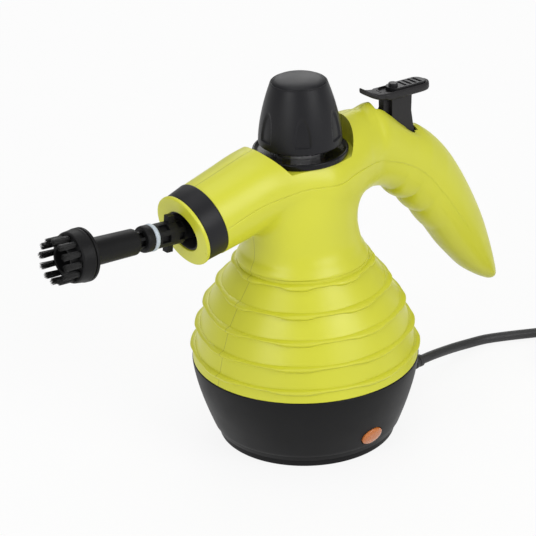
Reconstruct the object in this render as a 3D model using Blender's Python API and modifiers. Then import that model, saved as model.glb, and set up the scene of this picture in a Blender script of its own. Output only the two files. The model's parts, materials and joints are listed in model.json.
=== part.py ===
"""Handheld pressure steam cleaner: lime bulb housing, black base, safety cap and brush.

Metres, +Z up. The origin is the centre of the base's flat underside, on the axis of the
body and the cap. The spout points to -X, the handle to +X, and y = 0 is the plane in which
the two housing halves meet. Each object is one piece of the real appliance.
"""
import math

import bmesh
import bpy
from mathutils import Matrix, Vector

# Clearances and shared working sizes
GAP = 0.0003
OVERRUN = 0.004
MERGE = 0.00001
FINE_STEPS = 24
ROUND_STEPS = 14
SMALL_STEPS = 12
HEX_STEPS = 6

# Base cup and bottom cover
FOOT_RADIUS = 0.0544
BASE_TOP_RADIUS = 0.0697
BASE_HEIGHT = 0.0511
BASE_BULGE_SHARE = 1.45
BASE_WALL = 0.0024
BASE_FLOOR = 0.0024
BASE_LIP_RISE = 0.0040
LEDGE_RADIUS = 0.0440
COVER_HEIGHT = 0.0042
COVER_PLATE = 0.0022
POST_RADIUS = 0.0042
POST_INSET = 0.0050
POST_ANGLES_DEG = (90.0, 210.0, 330.0)
BASE_SCREW_RADIUS = 0.0014
BASE_SCREW_HEAD = 0.0027
BASE_SCREW_LENGTH = 0.0140
VENT_RADIUS = 0.0020
VENT_CIRCLE = 0.0240
VENT_COUNT = 4

# Ribbed skirt and neck of the housing
SKIRT_RADIUS = 0.0694
SKIRT_HEIGHT = 0.0640
HOUSING_WALL = 0.0024
RIB_RISE_SHARES = (0.12, 0.334, 0.561, 0.777, 1.0)
RIB_RADIUS_SHARES = (0.974, 0.928, 0.850, 0.729, 0.582)
RIB_PROUD = 0.0030
RIB_PROUD_BETWEEN = 0.0015
RIB_HALF_HEIGHT = 0.0024
RIB_DIP = 0.0012
RIB_LOBES = 8
RIB_LOBE_POINTS = 3
NECK_RISE = 0.0446
NECK_STATION_SHARES = (
    # rise along the neck, shift to the spout, half length, half width
    (0.08, 0.020, 0.588, 0.576),
    (0.16, 0.050, 0.603, 0.553),
    (0.36, 0.072, 0.590, 0.490),
    (0.56, 0.086, 0.590, 0.476),
    (0.78, 0.086, 0.575, 0.462),
    (1.00, 0.086, 0.540, 0.420),
)

# Spout: its axis points out to -X and dips
SPOUT_FACE = (-0.0912, 0.1610)
SPOUT_DIP_DEG = 12.7
SPOUT_FACE_RADIUS = 0.0225
RING_LENGTH = 0.0031
RING_ROUND = 0.0016
RING_BORE = 0.0130
RING_SLEEVE_RADIUS = 0.0194
RING_SLEEVE_WALL = 0.0018
RING_SLEEVE_LENGTH = 0.0170
BAND_LENGTH = 0.0112
BAND_FRONT_RADIUS = 0.0219
BAND_BACK_RADIUS = 0.0229
SPOUT_BACK_RADIUS = 0.0246
SOCKET_DEPTH = 0.0150
SOCKET_FLOOR_RADIUS = 0.0075
SOCKET_WALL = 0.0020

# Head and handle, as shares of the reach and the height of the top ridge
HANDLE_REACH = 0.1630
RIDGE_HEIGHT = 0.2038
HEAD_HALF_WIDTH = 0.0330
HANDLE_STATION_SHARES = (
    # top x, top z, underside x, underside z, half width
    (-0.135, 0.979, -0.086, 0.697, 0.818),
    (0.000, 0.981, 0.012, 0.677, 0.985),
    (0.123, 0.981, 0.110, 0.680, 0.894),
    (0.215, 0.980, 0.202, 0.716, 0.742),
    (0.294, 0.994, 0.264, 0.731, 0.621),
    (0.365, 0.974, 0.319, 0.732, 0.561),
    (0.436, 0.933, 0.365, 0.719, 0.530),
    (0.509, 0.887, 0.411, 0.694, 0.515),
    (0.581, 0.847, 0.460, 0.658, 0.515),
    (0.653, 0.800, 0.518, 0.601, 0.515),
    (0.722, 0.738, 0.580, 0.542, 0.515),
    (0.788, 0.658, 0.641, 0.483, 0.500),
    (0.844, 0.576, 0.699, 0.429, 0.470),
    (0.892, 0.493, 0.755, 0.378, 0.439),
    (0.932, 0.407, 0.813, 0.329, 0.394),
    (0.963, 0.330, 0.871, 0.292, 0.333),
    (0.985, 0.276, 0.923, 0.263, 0.242),
    (0.983, 0.260, 0.957, 0.250, 0.121),
)
FINGER_BUMPS = 3
FINGER_BUMP_HEIGHT = 0.0020
FINGER_FROM_SHARE = 0.38
FINGER_TO_SHARE = 0.66
TOP_SQUARENESS_SHARE = 1.85
UNDER_SQUARENESS_SHARE = 2.2
SECTION_POINTS = 12
VOID_POINTS = 10
BODY_VOID_POINTS = 16

# Pocket, collar and safety cap, round the body axis
POCKET_RADIUS = 0.0352
POCKET_FLOOR = 0.1837
POCKET_HOLE = 0.0221
COLLAR_RADIUS = 0.0291
COLLAR_LIP = 0.0037
COLLAR_SKIRT = 0.0060
COLLAR_WALL = 0.0014
CAP_RADIUS = 0.0252
CAP_SHOULDER_RADIUS = 0.0169
CAP_BOTTOM = 0.1919
CAP_HEIGHT = 0.0381
CAP_DOME = 0.0026
CAP_WALL = 0.0020
CAP_TAPER_SHARE = 1.7
CAP_LIP_HEIGHT = 0.0015
CAP_LIP_WIDTH = 0.0036
CAP_FLUTES = 6
CAP_FLUTE_PHASE_DEG = -6.5
CAP_FLUTE_WIDTH = 0.0104
CAP_FLUTE_HEIGHT = 0.0180
CAP_FLUTE_RAISE = 0.0050
CAP_FLUTE_DEPTH = 0.0011
PLUG_FLANGE_RADIUS = 0.0216
PLUG_FLANGE = 0.0025
PLUG_HUB_RADIUS = 0.0150
PLUG_BOSS_RADIUS = 0.0090
PLUG_BOSS_HEIGHT = 0.0180
PLUG_PIN_RADIUS = 0.0040
PLUG_PIN_HEIGHT = 0.0070
PLUG_STEM_LENGTH = 0.0120
CAP_SPRING_RADIUS = 0.0062
CAP_SPRING_WIRE = 0.0006
CAP_SPRING_TURNS = 3

# Boiler
NECK_BORE = 0.0112
NECK_WALL = 0.0030
NECK_TOP = 0.1890
GASKET_THICKNESS = 0.0016
BOILER_WALL = 0.0030
FLANGE_WIDTH = 0.0098
BOILER_BOTTOM = 0.0243
FLANGE_MIDDLE = 0.0658
FLANGE_CLEARANCE = 0.0095
FLANGE_THICKNESS = 0.0030
FLANGE_SEAL = 0.0006
BOILER_DOME = 0.0500
BOLT_INSET = 0.0030
BOLT_RADIUS = 0.0013
BOLT_HEAD_RADIUS = 0.0026
BOLT_HEAD_HEIGHT = 0.0024
BOLT_COUNT = 6
PIPE_RADIUS = 0.0018
PIPE_BOSS_RADIUS = 0.0042
PIPE_BOSS_HEIGHT = 0.0140
PIPE_BOSS_X = 0.0250
PIPE_BOSS_TOP = 0.1140

# Heater, thermostat, fuse and wiring in the base
HEATER_RADIUS = 0.0270
HEATER_TUBE = 0.0034
HEATER_OPEN_DEG = 34.0
HEATER_LEG = 0.0080
THERMOSTAT_RADIUS = 0.0085
THERMOSTAT_HEIGHT = 0.0062
FUSE_RADIUS = 0.0022
FUSE_LENGTH = 0.0120
FUSE_X = 0.0160
BLOCK_LENGTH = 0.0160
BLOCK_WIDTH = 0.0180
BLOCK_HEIGHT = 0.0090
BLOCK_X = 0.0220
CLAMP_LENGTH = 0.0060
CLAMP_WIDTH = 0.0160
CLAMP_CLEARANCE = 0.0024
LENS_Z = 0.0160
LENS_HALF_WIDTH = 0.0078
LENS_HALF_HEIGHT = 0.0062
LENS_PROUD = 0.0016
LENS_DEPTH = 0.0050
LAMP_RADIUS = 0.0026
LAMP_LENGTH = 0.0100

# Nozzle: steam spigot, seal and brush on one axis that rises outward
NOZZLE_START = (-0.0908, 0.1622)
NOZZLE_RISE_DEG = 5.8
SPIGOT_ROOT_RADIUS = 0.0058
SPIGOT_ROOT_LENGTH = 0.0240
SPIGOT_BARREL_RADIUS = 0.0074
SPIGOT_BARREL_FROM = 0.0030
SPIGOT_BARREL_TO = 0.0208
SPIGOT_GROOVE_RADIUS = 0.0060
SPIGOT_GROOVE_LENGTH = 0.0034
SPIGOT_FLANGE_RADIUS = 0.0080
SPIGOT_FLANGE_LENGTH = 0.0060
SPIGOT_CORE_RADIUS = 0.0054
SPIGOT_CORE_TO = 0.0640
SPIGOT_BORE = 0.0016
LUG_FROM = 0.0080
LUG_LENGTH = 0.0048
LUG_WIDTH = 0.0052
LUG_REACH = 0.0112
WINDOW_LENGTH = 0.0050
WINDOW_DEPTH = 0.0022
CORE_NOTCH_DEPTH = 0.0022
O_RING_PROUD = 0.0019
BRUSH_FROM = 0.0366
BRUSH_SLEEVE_RADIUS = 0.0078
BRUSH_SLEEVE_END_RADIUS = 0.0083
BRUSH_HEAD_FROM = 0.0740
BRUSH_HEAD_RADIUS = 0.0158
BRUSH_FLANGE = 0.0017
BRUSH_GROOVE = 0.0008
BRUSH_HEAD_LENGTH = 0.0100
BRUSH_HUB_RADIUS = 0.0090
BRUSH_HUB_HEIGHT = 0.0068
BRUSH_HOLE_RADIUS = 0.0072
BRUSH_JET_RADIUS = 0.0025
TUFT_COUNT = 12
TUFT_STRANDS = 9
TUFT_RADIUS = 0.0018
TUFT_CIRCLE = 0.0119
TUFT_LENGTH = 0.0130
STRAND_RADIUS = 0.00024
STRAND_SIDES = 3
STRAND_SPLAY_SHARE = 1.12
BACKING_THICKNESS = 0.0010

# Thumb lever, its pivot, the lock slider and the steam valve
LEVER_PIVOT_SHARES = (0.3681, 0.90285)
LEVER_PIVOT = (HANDLE_REACH * LEVER_PIVOT_SHARES[0], RIDGE_HEIGHT * LEVER_PIVOT_SHARES[1])
LEVER_PIVOT_RADIUS = 0.0050
LEVER_PIN_RADIUS = 0.0015
LEVER_PIN_LENGTH = 0.0200
LEVER_BLADE = 0.0100
LEVER_FRONT_REACH = 0.0050
LEVER_REAR_REACH = 0.0274
LEVER_TAIL_REACH = 0.0293
LEVER_RISE = 0.0160
LEVER_DROP = 0.0160
LEVER_TAIL_DROP = 0.0130
LEVER_FRONT = LEVER_PIVOT[0] + LEVER_FRONT_REACH
LEVER_REAR = LEVER_PIVOT[0] + LEVER_REAR_REACH
LEVER_TAIL_X = LEVER_PIVOT[0] + LEVER_TAIL_REACH
LEVER_BLADE_TOP = LEVER_PIVOT[1] + LEVER_RISE
LEVER_FOOT = LEVER_PIVOT[1] - LEVER_DROP
LEVER_TAIL_Z = LEVER_PIVOT[1] - LEVER_TAIL_DROP
SLOT_CLEARANCE = 0.0008
PAD_LENGTH = 0.0380
PAD_LEAD = 0.0010
PAD_RISE = 0.0048
PAD_FRONT = LEVER_FRONT - PAD_LEAD
PAD_REAR = PAD_FRONT + PAD_LENGTH
PAD_TOP = LEVER_BLADE_TOP + PAD_RISE
PAD_DROP = 0.0024
PAD_THICKNESS = 0.0050
PAD_HALF_WIDTH = 0.0072
TONGUE_LENGTH = 0.0125
TONGUE_CURL = 0.0048
TONGUE_THICKNESS = 0.0024
TONGUE_HALF_WIDTH = 0.0062
SLIDER_LENGTH = 0.0290
SLIDER_HALF_WIDTH = 0.0050
SLIDER_THICKNESS = 0.0022
SLIDER_RECESS = 0.0010
SLIDER_GROOVE_WIDTH = 0.0018
SLIDER_GROOVE_DEPTH = 0.0007
SLIDER_GROOVES = 3
SLIDER_TRAVEL = 0.0050
SLIDER_KNOB_RADIUS = 0.0029
SLIDER_KNOB_HEIGHT = 0.0022
VALVE_REACH = 0.0120
VALVE_RADIUS = 0.0062
VALVE_LENGTH = 0.0142
VALVE_BELOW_FOOT = 0.0078
VALVE_INLET_DEPTH = 0.0065
VALVE_OUTLET_DEPTH = 0.0022
VALVE_X = LEVER_PIVOT[0] + VALVE_REACH
VALVE_TOP = LEVER_FOOT - VALVE_BELOW_FOOT
VALVE_BOTTOM = VALVE_TOP - VALVE_LENGTH
VALVE_INLET_Z = VALVE_TOP - VALVE_INLET_DEPTH
VALVE_OUTLET_Z = VALVE_TOP - VALVE_OUTLET_DEPTH
PLUNGER_RADIUS = 0.0016
PLUNGER_HEAD_RADIUS = 0.0042
PLUNGER_HEAD = 0.0016
PLUNGER_DEPTH = 0.0080
VALVE_SPRING_RADIUS = 0.0033
VALVE_SPRING_WIRE = 0.0004
VALVE_SPRING_TURNS = 3

# Screw bosses that join the two housing halves, as places in the symmetry plane
BOSS_RADIUS = 0.0036
BOSS_SEAT = 0.0060
SCREW_RADIUS = 0.0012
SCREW_HEAD_RADIUS = 0.0026
SCREW_HEAD = 0.0018
SCREW_LENGTH = 0.0110
BOSS_HANDLE_SHARES = ((0.552, 0.727), (0.715, 0.571), (0.847, 0.402))
BOSS_SPOUT_SHARES = (-0.290, 0.756)
BOSS_SPOUT_SPAN_SHARE = 0.86

# Mains cord: exit, free stretch, coil, tail and plug
CORD_RADIUS = 0.0031
CORD_LIFT = 0.00005
CORD_EXIT_Z = 0.0103
RELIEF_LENGTH = 0.0380
RELIEF_COLLAR_RADIUS = 0.0062
RELIEF_NECK_RADIUS = 0.0043
RELIEF_FLANGE_RADIUS = 0.0047
RELIEF_FLANGE = 0.0014
RELIEF_TIP_RADIUS = 0.0039
CORD_ROUTE = (
    (0.1120, 0.0008, 0.0095),
    (0.1280, 0.0032, 0.0068),
    (0.1430, 0.0046, 0.0042),
    (0.1570, 0.0030, 0.00315),
    (0.1720, -0.0042, 0.00315),
    (0.1880, -0.0132, 0.00315),
    (0.2030, -0.0218, 0.0033),
    (0.2160, -0.0298, 0.0038),
)
COIL_CENTRE = (0.2070, -0.0830)
COIL_MIDDLE_RADIUS = 0.0374
COIL_STEP = 0.0069
COIL_LAYER_TURNS = 3.75
COIL_ENTRY_DEG = 57.0
COIL_LOOP_POINTS = 24
COIL_LIFT = 0.0011
TIE_THICKNESS = 0.0008
TIE_WIDTH = 0.0100
TIE_CLEARANCE = 0.0002
TIE_ANGLE_DEG = 205.0
TAIL_SWEEP_DEG = 60.0
PLUG_FACE_RADIUS = 0.0180
PLUG_WAIST_RADIUS = 0.0110
PLUG_CORD_RADIUS = 0.0046
PLUG_LENGTH = 0.0420
PLUG_LIFT = 0.0002
PIN_RADIUS = 0.0024
PIN_LENGTH = 0.0190
PIN_SPACING = 0.0190

LIME = (0.66, 0.71, 0.10, 1.0)
BASE_BLACK = (0.020, 0.020, 0.021, 1.0)
CAP_BLACK = (0.032, 0.032, 0.036, 1.0)
GLOSS_BLACK = (0.008, 0.008, 0.009, 1.0)
CORD_BLACK = (0.018, 0.018, 0.019, 1.0)
ORANGE = (0.62, 0.12, 0.035, 1.0)
PALE_SEAL = (0.50, 0.55, 0.60, 1.0)
ALUMINIUM = (0.60, 0.60, 0.61, 1.0)
STEEL = (0.55, 0.55, 0.56, 1.0)
BRASS = (0.62, 0.47, 0.20, 1.0)
RED_SEAL = (0.45, 0.09, 0.06, 1.0)
WHITE = (0.75, 0.75, 0.73, 1.0)
GLASS = (0.85, 0.45, 0.25, 1.0)


# Scene, collections and materials
def clear_scene():
    for obj in list(bpy.data.objects):
        bpy.data.objects.remove(obj, do_unlink=True)


def new_collection(name):
    collection = bpy.data.collections.new(name)
    bpy.context.scene.collection.children.link(collection)
    return collection


def material(name, color, roughness, metallic=0.0):
    made = bpy.data.materials.get(name)
    if made:
        return made
    made = bpy.data.materials.new(name)
    made.use_nodes = True
    shader = made.node_tree.nodes["Principled BSDF"]
    shader.inputs["Base Color"].default_value = color
    shader.inputs["Roughness"].default_value = roughness
    shader.inputs["Metallic"].default_value = metallic
    made.diffuse_color = color
    return made


def lime():
    return material("lime_plastic", LIME, 0.42)


def base_black():
    return material("base_plastic", BASE_BLACK, 0.45)


def cap_black():
    return material("cap_plastic", CAP_BLACK, 0.38)


def gloss_black():
    return material("gloss_plastic", GLOSS_BLACK, 0.15)


def cord_black():
    return material("cord_rubber", CORD_BLACK, 0.55)


def aluminium():
    return material("cast_aluminium", ALUMINIUM, 0.5, 1.0)


def steel():
    return material("steel", STEEL, 0.3, 1.0)


def brass():
    return material("brass", BRASS, 0.3, 1.0)


def red_seal():
    return material("silicone_seal", RED_SEAL, 0.6)


def white_ceramic():
    return material("ceramic", WHITE, 0.5)


# Building helpers
def add_object(name, mesh, finish=None, place=None, cutter=False):
    obj = bpy.data.objects.new(name, mesh)
    if finish:
        mesh.materials.append(finish)
    (CUTTERS if cutter else PARTS).objects.link(obj)
    if cutter:
        obj.hide_render = True
        obj.display_type = "WIRE"
    if place is not None:
        obj.matrix_world = place
    return obj


def lathe(name, profile, finish=None, place=None, steps=ROUND_STEPS, closed=True, cutter=False):
    """Turn (radius, height) points round local Z; the outer side runs top to bottom."""
    count = len(profile)
    edges = [(i, i + 1) for i in range(count - 1)]
    if closed:
        edges.append((count - 1, 0))
    mesh = bpy.data.meshes.new(name)
    mesh.from_pydata([(r, 0.0, z) for r, z in profile], edges, [])
    obj = add_object(name, mesh, finish, place, cutter)
    screw = obj.modifiers.new("turn", "SCREW")
    screw.axis = "Z"
    screw.angle = math.tau
    screw.steps = steps
    screw.render_steps = steps
    screw.use_merge_vertices = True
    screw.merge_threshold = MERGE
    screw.use_smooth_shade = True
    return obj


def rod(name, radius, low, high, finish=None, place=None, steps=SMALL_STEPS, cutter=False):
    profile = [(0.0, high), (radius, high), (radius, low), (0.0, low)]
    return lathe(name, profile, finish, place, steps, closed=False, cutter=cutter)


def loft(name, rings, finish=None, place=None, cutter=False):
    """Skin a list of equal rings of points and cap both ends."""
    bm = bmesh.new()
    rows = [[bm.verts.new(point) for point in ring] for ring in rings]
    count = len(rows[0])
    for below, above in zip(rows, rows[1:]):
        for i in range(count):
            j = (i + 1) % count
            bm.faces.new((below[i], below[j], above[j], above[i]))
    bm.faces.new(list(reversed(rows[0])))
    bm.faces.new(rows[-1])
    bmesh.ops.recalc_face_normals(bm, faces=bm.faces)
    mesh = bpy.data.meshes.new(name)
    bm.to_mesh(mesh)
    bm.free()
    mesh.shade_smooth()
    mesh.set_sharp_from_angle(angle=math.radians(40.0))
    return add_object(name, mesh, finish, place, cutter)


def box(name, low, high, finish=None, place=None, cutter=False):
    """A box between two corners, from a unit cube."""
    bm = bmesh.new()
    bmesh.ops.create_cube(bm, size=1.0)
    middle = [(a + b) / 2 for a, b in zip(low, high)]
    span = [b - a for a, b in zip(low, high)]
    bm.transform(Matrix.Translation(middle) @ Matrix.Diagonal((*span, 1.0)))
    mesh = bpy.data.meshes.new(name)
    bm.to_mesh(mesh)
    bm.free()
    return add_object(name, mesh, finish, place, cutter)


def boolean(target, other, operation, solver):
    modifier = target.modifiers.new(other.name, "BOOLEAN")
    modifier.operation = operation
    modifier.object = other
    modifier.solver = solver


def cut(target, *others, solver="EXACT"):
    for other in others:
        boolean(target, other, "DIFFERENCE", solver)


def join(target, *others, solver="EXACT"):
    for other in others:
        boolean(target, other, "UNION", solver)


def evaluated_mesh(obj):
    bpy.context.view_layer.update()
    graph = bpy.context.evaluated_depsgraph_get()
    return bpy.data.meshes.new_from_object(obj.evaluated_get(graph))


def curve_to_mesh(obj, name, finish=None):
    """Turn a curve object into a closed mesh object with welded caps."""
    mesh = evaluated_mesh(obj)
    bm = bmesh.new()
    bm.from_mesh(mesh)
    bmesh.ops.remove_doubles(bm, verts=bm.verts, dist=MERGE)
    bmesh.ops.recalc_face_normals(bm, faces=bm.faces)
    bm.to_mesh(mesh)
    bm.free()
    mesh.materials.clear()
    mesh.name = name
    place = obj.matrix_world.copy()
    bpy.data.objects.remove(obj, do_unlink=True)
    return add_object(name, mesh, finish, place)


def tube(name, points, radius, finish=None, resolution=2, place=None):
    """A round tube with filled caps along a list of points."""
    curve = bpy.data.curves.new(name, "CURVE")
    curve.dimensions = "3D"
    curve.bevel_depth = radius
    curve.bevel_resolution = resolution
    curve.use_fill_caps = True
    curve.twist_mode = "MINIMUM"
    spline = curve.splines.new("POLY")
    spline.points.add(len(points) - 1)
    for target, point in zip(spline.points, points):
        target.co = (*point, 1.0)
    obj = add_object(name + "_path", curve, None, place)
    return curve_to_mesh(obj, name, finish)


def slab(name, outline, low, high, finish=None, origin=(0.0, 0.0)):
    """A flat outline in the (x, z) plane, thick from y = low to y = high, about an origin."""
    curve = bpy.data.curves.new(name, "CURVE")
    curve.dimensions = "2D"
    curve.fill_mode = "BOTH"
    curve.extrude = (high - low) / 2
    spline = curve.splines.new("POLY")
    spline.points.add(len(outline) - 1)
    for target, (x, z) in zip(spline.points, outline):
        target.co = (x - origin[0], z - origin[1], 0.0, 1.0)
    spline.use_cyclic_u = True
    turned = Matrix.Rotation(math.radians(90.0), 4, "X")
    place = Matrix.Translation((origin[0], (low + high) / 2, origin[1])) @ turned
    obj = add_object(name + "_outline", curve, None, place)
    return curve_to_mesh(obj, name, finish)


def aim(origin, direction):
    """A frame whose local Z points along direction and whose local Y stays level."""
    z_axis = Vector(direction).normalized()
    y_axis = Vector((0.0, 0.0, 1.0)).cross(z_axis).normalized()
    x_axis = y_axis.cross(z_axis).normalized()
    turned = Matrix((x_axis, y_axis, z_axis)).transposed().to_4x4()
    return Matrix.Translation(origin) @ turned


def smooth_curve(points, per_span):
    """Points on a Catmull-Rom curve through the given points."""
    ends = [points[0], *points, points[-1]]
    made = []
    for i in range(len(points) - 1):
        a, b, c, d = (Vector(p) for p in ends[i:i + 4])
        for k in range(per_span):
            t = k / per_span
            made.append(0.5 * (2 * b + (c - a) * t + (2 * a - 5 * b + 4 * c - d) * t * t
                               + (3 * b - 3 * c + d - a) * t ** 3))
    made.append(Vector(points[-1]))
    return made


def polar(radius, degrees, z=0.0):
    angle = math.radians(degrees)
    return Vector((radius * math.cos(angle), radius * math.sin(angle), z))


# Shapes shared by several pieces
def base_radius(z):
    share = 1 - z / BASE_HEIGHT
    return FOOT_RADIUS + (BASE_TOP_RADIUS - FOOT_RADIUS) * (1 - share ** BASE_BULGE_SHARE)


def base_rows(high, low, count, inset):
    return [(base_radius(z) - inset, z)
            for z in (high + (low - high) * i / count for i in range(count + 1))]


def skirt_bottom():
    return BASE_HEIGHT + GAP


def lip_top():
    """Height of the base's lip, which centres the housing's skirt."""
    return BASE_HEIGHT + BASE_LIP_RISE


def rib_places():
    """Wall radius and height of each rib."""
    return [(SKIRT_RADIUS * r, BASE_HEIGHT + SKIRT_HEIGHT * h)
            for r, h in zip(RIB_RADIUS_SHARES, RIB_RISE_SHARES)]


def wall_radius(z):
    """Radius of the skirt's wall between ribs."""
    places = [(SKIRT_RADIUS, BASE_HEIGHT), *rib_places()]
    for (r0, z0), (r1, z1) in zip(places, places[1:]):
        if z <= z1:
            return r0 + (r1 - r0) * (z - z0) / (z1 - z0)
    return places[-1][0]


def flange_radius():
    """Radius of the boiler's flange, clear of the housing round it."""
    return wall_radius(FLANGE_MIDDLE) - HOUSING_WALL - FLANGE_CLEARANCE


def boiler_radius():
    return flange_radius() - FLANGE_WIDTH


def post_place(degrees):
    """Where a post of the base stands under the boiler's flange."""
    return Matrix.Translation(polar(flange_radius() - POST_INSET, degrees))


def neck_stations():
    """(height, shift, half length, half width) of the neck's ellipses."""
    start = BASE_HEIGHT + SKIRT_HEIGHT
    return [(start + NECK_RISE * rise, SKIRT_RADIUS * shift, SKIRT_RADIUS * long,
             SKIRT_RADIUS * wide) for rise, shift, long, wide in NECK_STATION_SHARES]


def lobe(angle):
    """One at each lobe of a rib and zero halfway between."""
    return (0.5 + 0.5 * math.cos(RIB_LOBES * angle)) ** 2


def body_rings():
    rows = [(skirt_bottom(), 0.0, None)]
    for _, height in rib_places():
        for rise, bulge in ((-1.1, 0.05), (-0.5, 1.0), (1.0, 0.1)):
            rows.append((height + rise * RIB_HALF_HEIGHT, bulge, None))
    rows += [(height, 0.0, (shift, long, wide)) for height, shift, long, wide in neck_stations()]
    rings = []
    for height, bulge, oval in rows:
        ring = []
        for i in range(RIB_LOBES * RIB_LOBE_POINTS):
            angle = math.tau * i / (RIB_LOBES * RIB_LOBE_POINTS)
            if oval:
                shift, long, wide = oval
                ring.append((long * math.cos(angle) - shift, wide * math.sin(angle), height))
                continue
            proud = RIB_PROUD_BETWEEN + (RIB_PROUD - RIB_PROUD_BETWEEN) * lobe(angle)
            radius = wall_radius(height) + bulge * proud
            z = height - bulge * RIB_DIP * lobe(angle)
            ring.append((radius * math.cos(angle), radius * math.sin(angle), z))
        rings.append(ring)
    return rings


def body_void_rings():
    points = BODY_VOID_POINTS
    heights = [skirt_bottom() - OVERRUN, lip_top()] + [height for _, height in rib_places()]
    rings = []
    for height in heights:
        radius = wall_radius(max(height, BASE_HEIGHT)) - HOUSING_WALL
        rings.append([polar(radius, 360.0 * i / points, height) for i in range(points)])
    for height, shift, long, wide in neck_stations()[:-1]:
        ring = []
        for i in range(points):
            angle = math.tau * i / points
            ring.append(((long - HOUSING_WALL) * math.cos(angle) - shift,
                         (wide - HOUSING_WALL) * math.sin(angle), height))
        rings.append(ring)
    return rings


def spout_direction():
    dip = math.radians(SPOUT_DIP_DEG)
    return Vector((-math.cos(dip), 0.0, -math.sin(dip)))


def spout_frame():
    return aim((SPOUT_FACE[0], 0.0, SPOUT_FACE[1]), spout_direction())


def spout_seat():
    """Distance behind the spout's face at which the lime housing starts."""
    return RING_LENGTH + GAP + BAND_LENGTH + GAP


def section(top, under, half_width, count, inset=0.0):
    """A squarish oval that spans from a top point to an underside point."""
    top, under = Vector((top[0], 0.0, top[1])), Vector((under[0], 0.0, under[1]))
    middle, half = (top + under) / 2, (top - under) / 2
    half -= half.normalized() * inset
    side = Vector((0.0, half_width - inset, 0.0))
    ring = []
    for i in range(count):
        angle = math.tau * i / count
        u, v = math.cos(angle), math.sin(angle)
        power = 2 / (TOP_SQUARENESS_SHARE if u > 0 else UNDER_SQUARENESS_SHARE)
        ring.append(middle + half * math.copysign(abs(u) ** power, u)
                    + side * math.copysign(abs(v) ** power, v))
    return ring


def spout_section(back, radius, count, inset=0.0):
    """A round section of the spout, a distance behind its face."""
    frame = spout_frame() @ Matrix.Translation((0.0, 0.0, -back))
    return [frame @ Vector((-(radius - inset) * math.cos(math.tau * i / count),
                            -(radius - inset) * math.sin(math.tau * i / count), 0.0))
            for i in range(count)]


def handle_stations():
    """(top, underside, half width) along the head and handle, in metres."""
    return [((tx * HANDLE_REACH, tz * RIDGE_HEIGHT), (ux * HANDLE_REACH, uz * RIDGE_HEIGHT),
             wide * HEAD_HALF_WIDTH) for tx, tz, ux, uz, wide in HANDLE_STATION_SHARES]


def finger_stations(stations):
    """Refine the stations in the grip and push the underside out into three bumps."""
    flat = [(*top, *under, wide) for top, under, wide in stations]
    refined = []
    for i, row in enumerate(flat):
        refined.append(row)
        if FINGER_FROM_SHARE <= row[2] / HANDLE_REACH < FINGER_TO_SHARE:
            following = flat[i + 1]
            for k in (1, 2):
                refined.append(tuple(a + (b - a) * k / 3 for a, b in zip(row, following)))
    made = []
    for tx, tz, ux, uz, wide in refined:
        share = (ux / HANDLE_REACH - FINGER_FROM_SHARE) / (FINGER_TO_SHARE - FINGER_FROM_SHARE)
        if 0 < share < 1:
            bump = FINGER_BUMP_HEIGHT * abs(math.sin(math.pi * FINGER_BUMPS * share)) ** 0.7
            away = Vector((ux - tx, uz - tz)).normalized() * bump
            ux, uz = ux + away.x, uz + away.y
        made.append(((tx, tz), (ux, uz), wide))
    return made


def head_rings(count, inset=0.0, front=0.0):
    """Spout, head and handle as one run of sections."""
    seat = spout_seat()
    to_head = -SPOUT_FACE[0] - POCKET_RADIUS
    rings = []
    for share in (0.0, 0.5, 1.0):
        back = seat + (to_head - seat) * share
        radius = BAND_BACK_RADIUS + (SPOUT_BACK_RADIUS - BAND_BACK_RADIUS) * share
        rings.append(spout_section(back - (front if share == 0.0 else 0.0), radius, count, inset))
    stations = handle_stations()
    if not inset:
        stations = finger_stations(stations)
    for top, under, wide in stations:
        depth = math.dist(top, under) / 2
        if inset and min(depth, wide) < 2.5 * inset:
            continue
        rings.append(section(top, under, wide, count, inset))
    return rings


# Housing halves
def boss_places():
    """Places of the joining screws in the symmetry plane, with the boss's span from it."""
    places = []
    for sx, sz in BOSS_HANDLE_SHARES:
        places.append((sx * HANDLE_REACH, sz * RIDGE_HEIGHT, boss_span(sx * HANDLE_REACH)))
    x, z = BOSS_SPOUT_SHARES[0] * HANDLE_REACH, BOSS_SPOUT_SHARES[1] * RIDGE_HEIGHT
    axis_z = SPOUT_FACE[1] + math.tan(math.radians(SPOUT_DIP_DEG)) * (x - SPOUT_FACE[0])
    span = math.sqrt(BAND_BACK_RADIUS ** 2 - (axis_z - z) ** 2) * BOSS_SPOUT_SPAN_SHARE
    places.append((x, z, span))
    return places


def boss_span(x):
    """Half width of the handle near a place, less half a wall."""
    rows = handle_stations()
    nearest = min(rows, key=lambda row: abs((row[0][0] + row[1][0]) / 2 - x))
    return nearest[2] - HOUSING_WALL * 0.6


def across(x, z, y=0.0):
    """A frame at a place of the symmetry plane whose local Z points to +Y."""
    return Matrix.Translation((x, y, z)) @ Matrix.Rotation(math.radians(-90.0), 4, "X")


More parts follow.
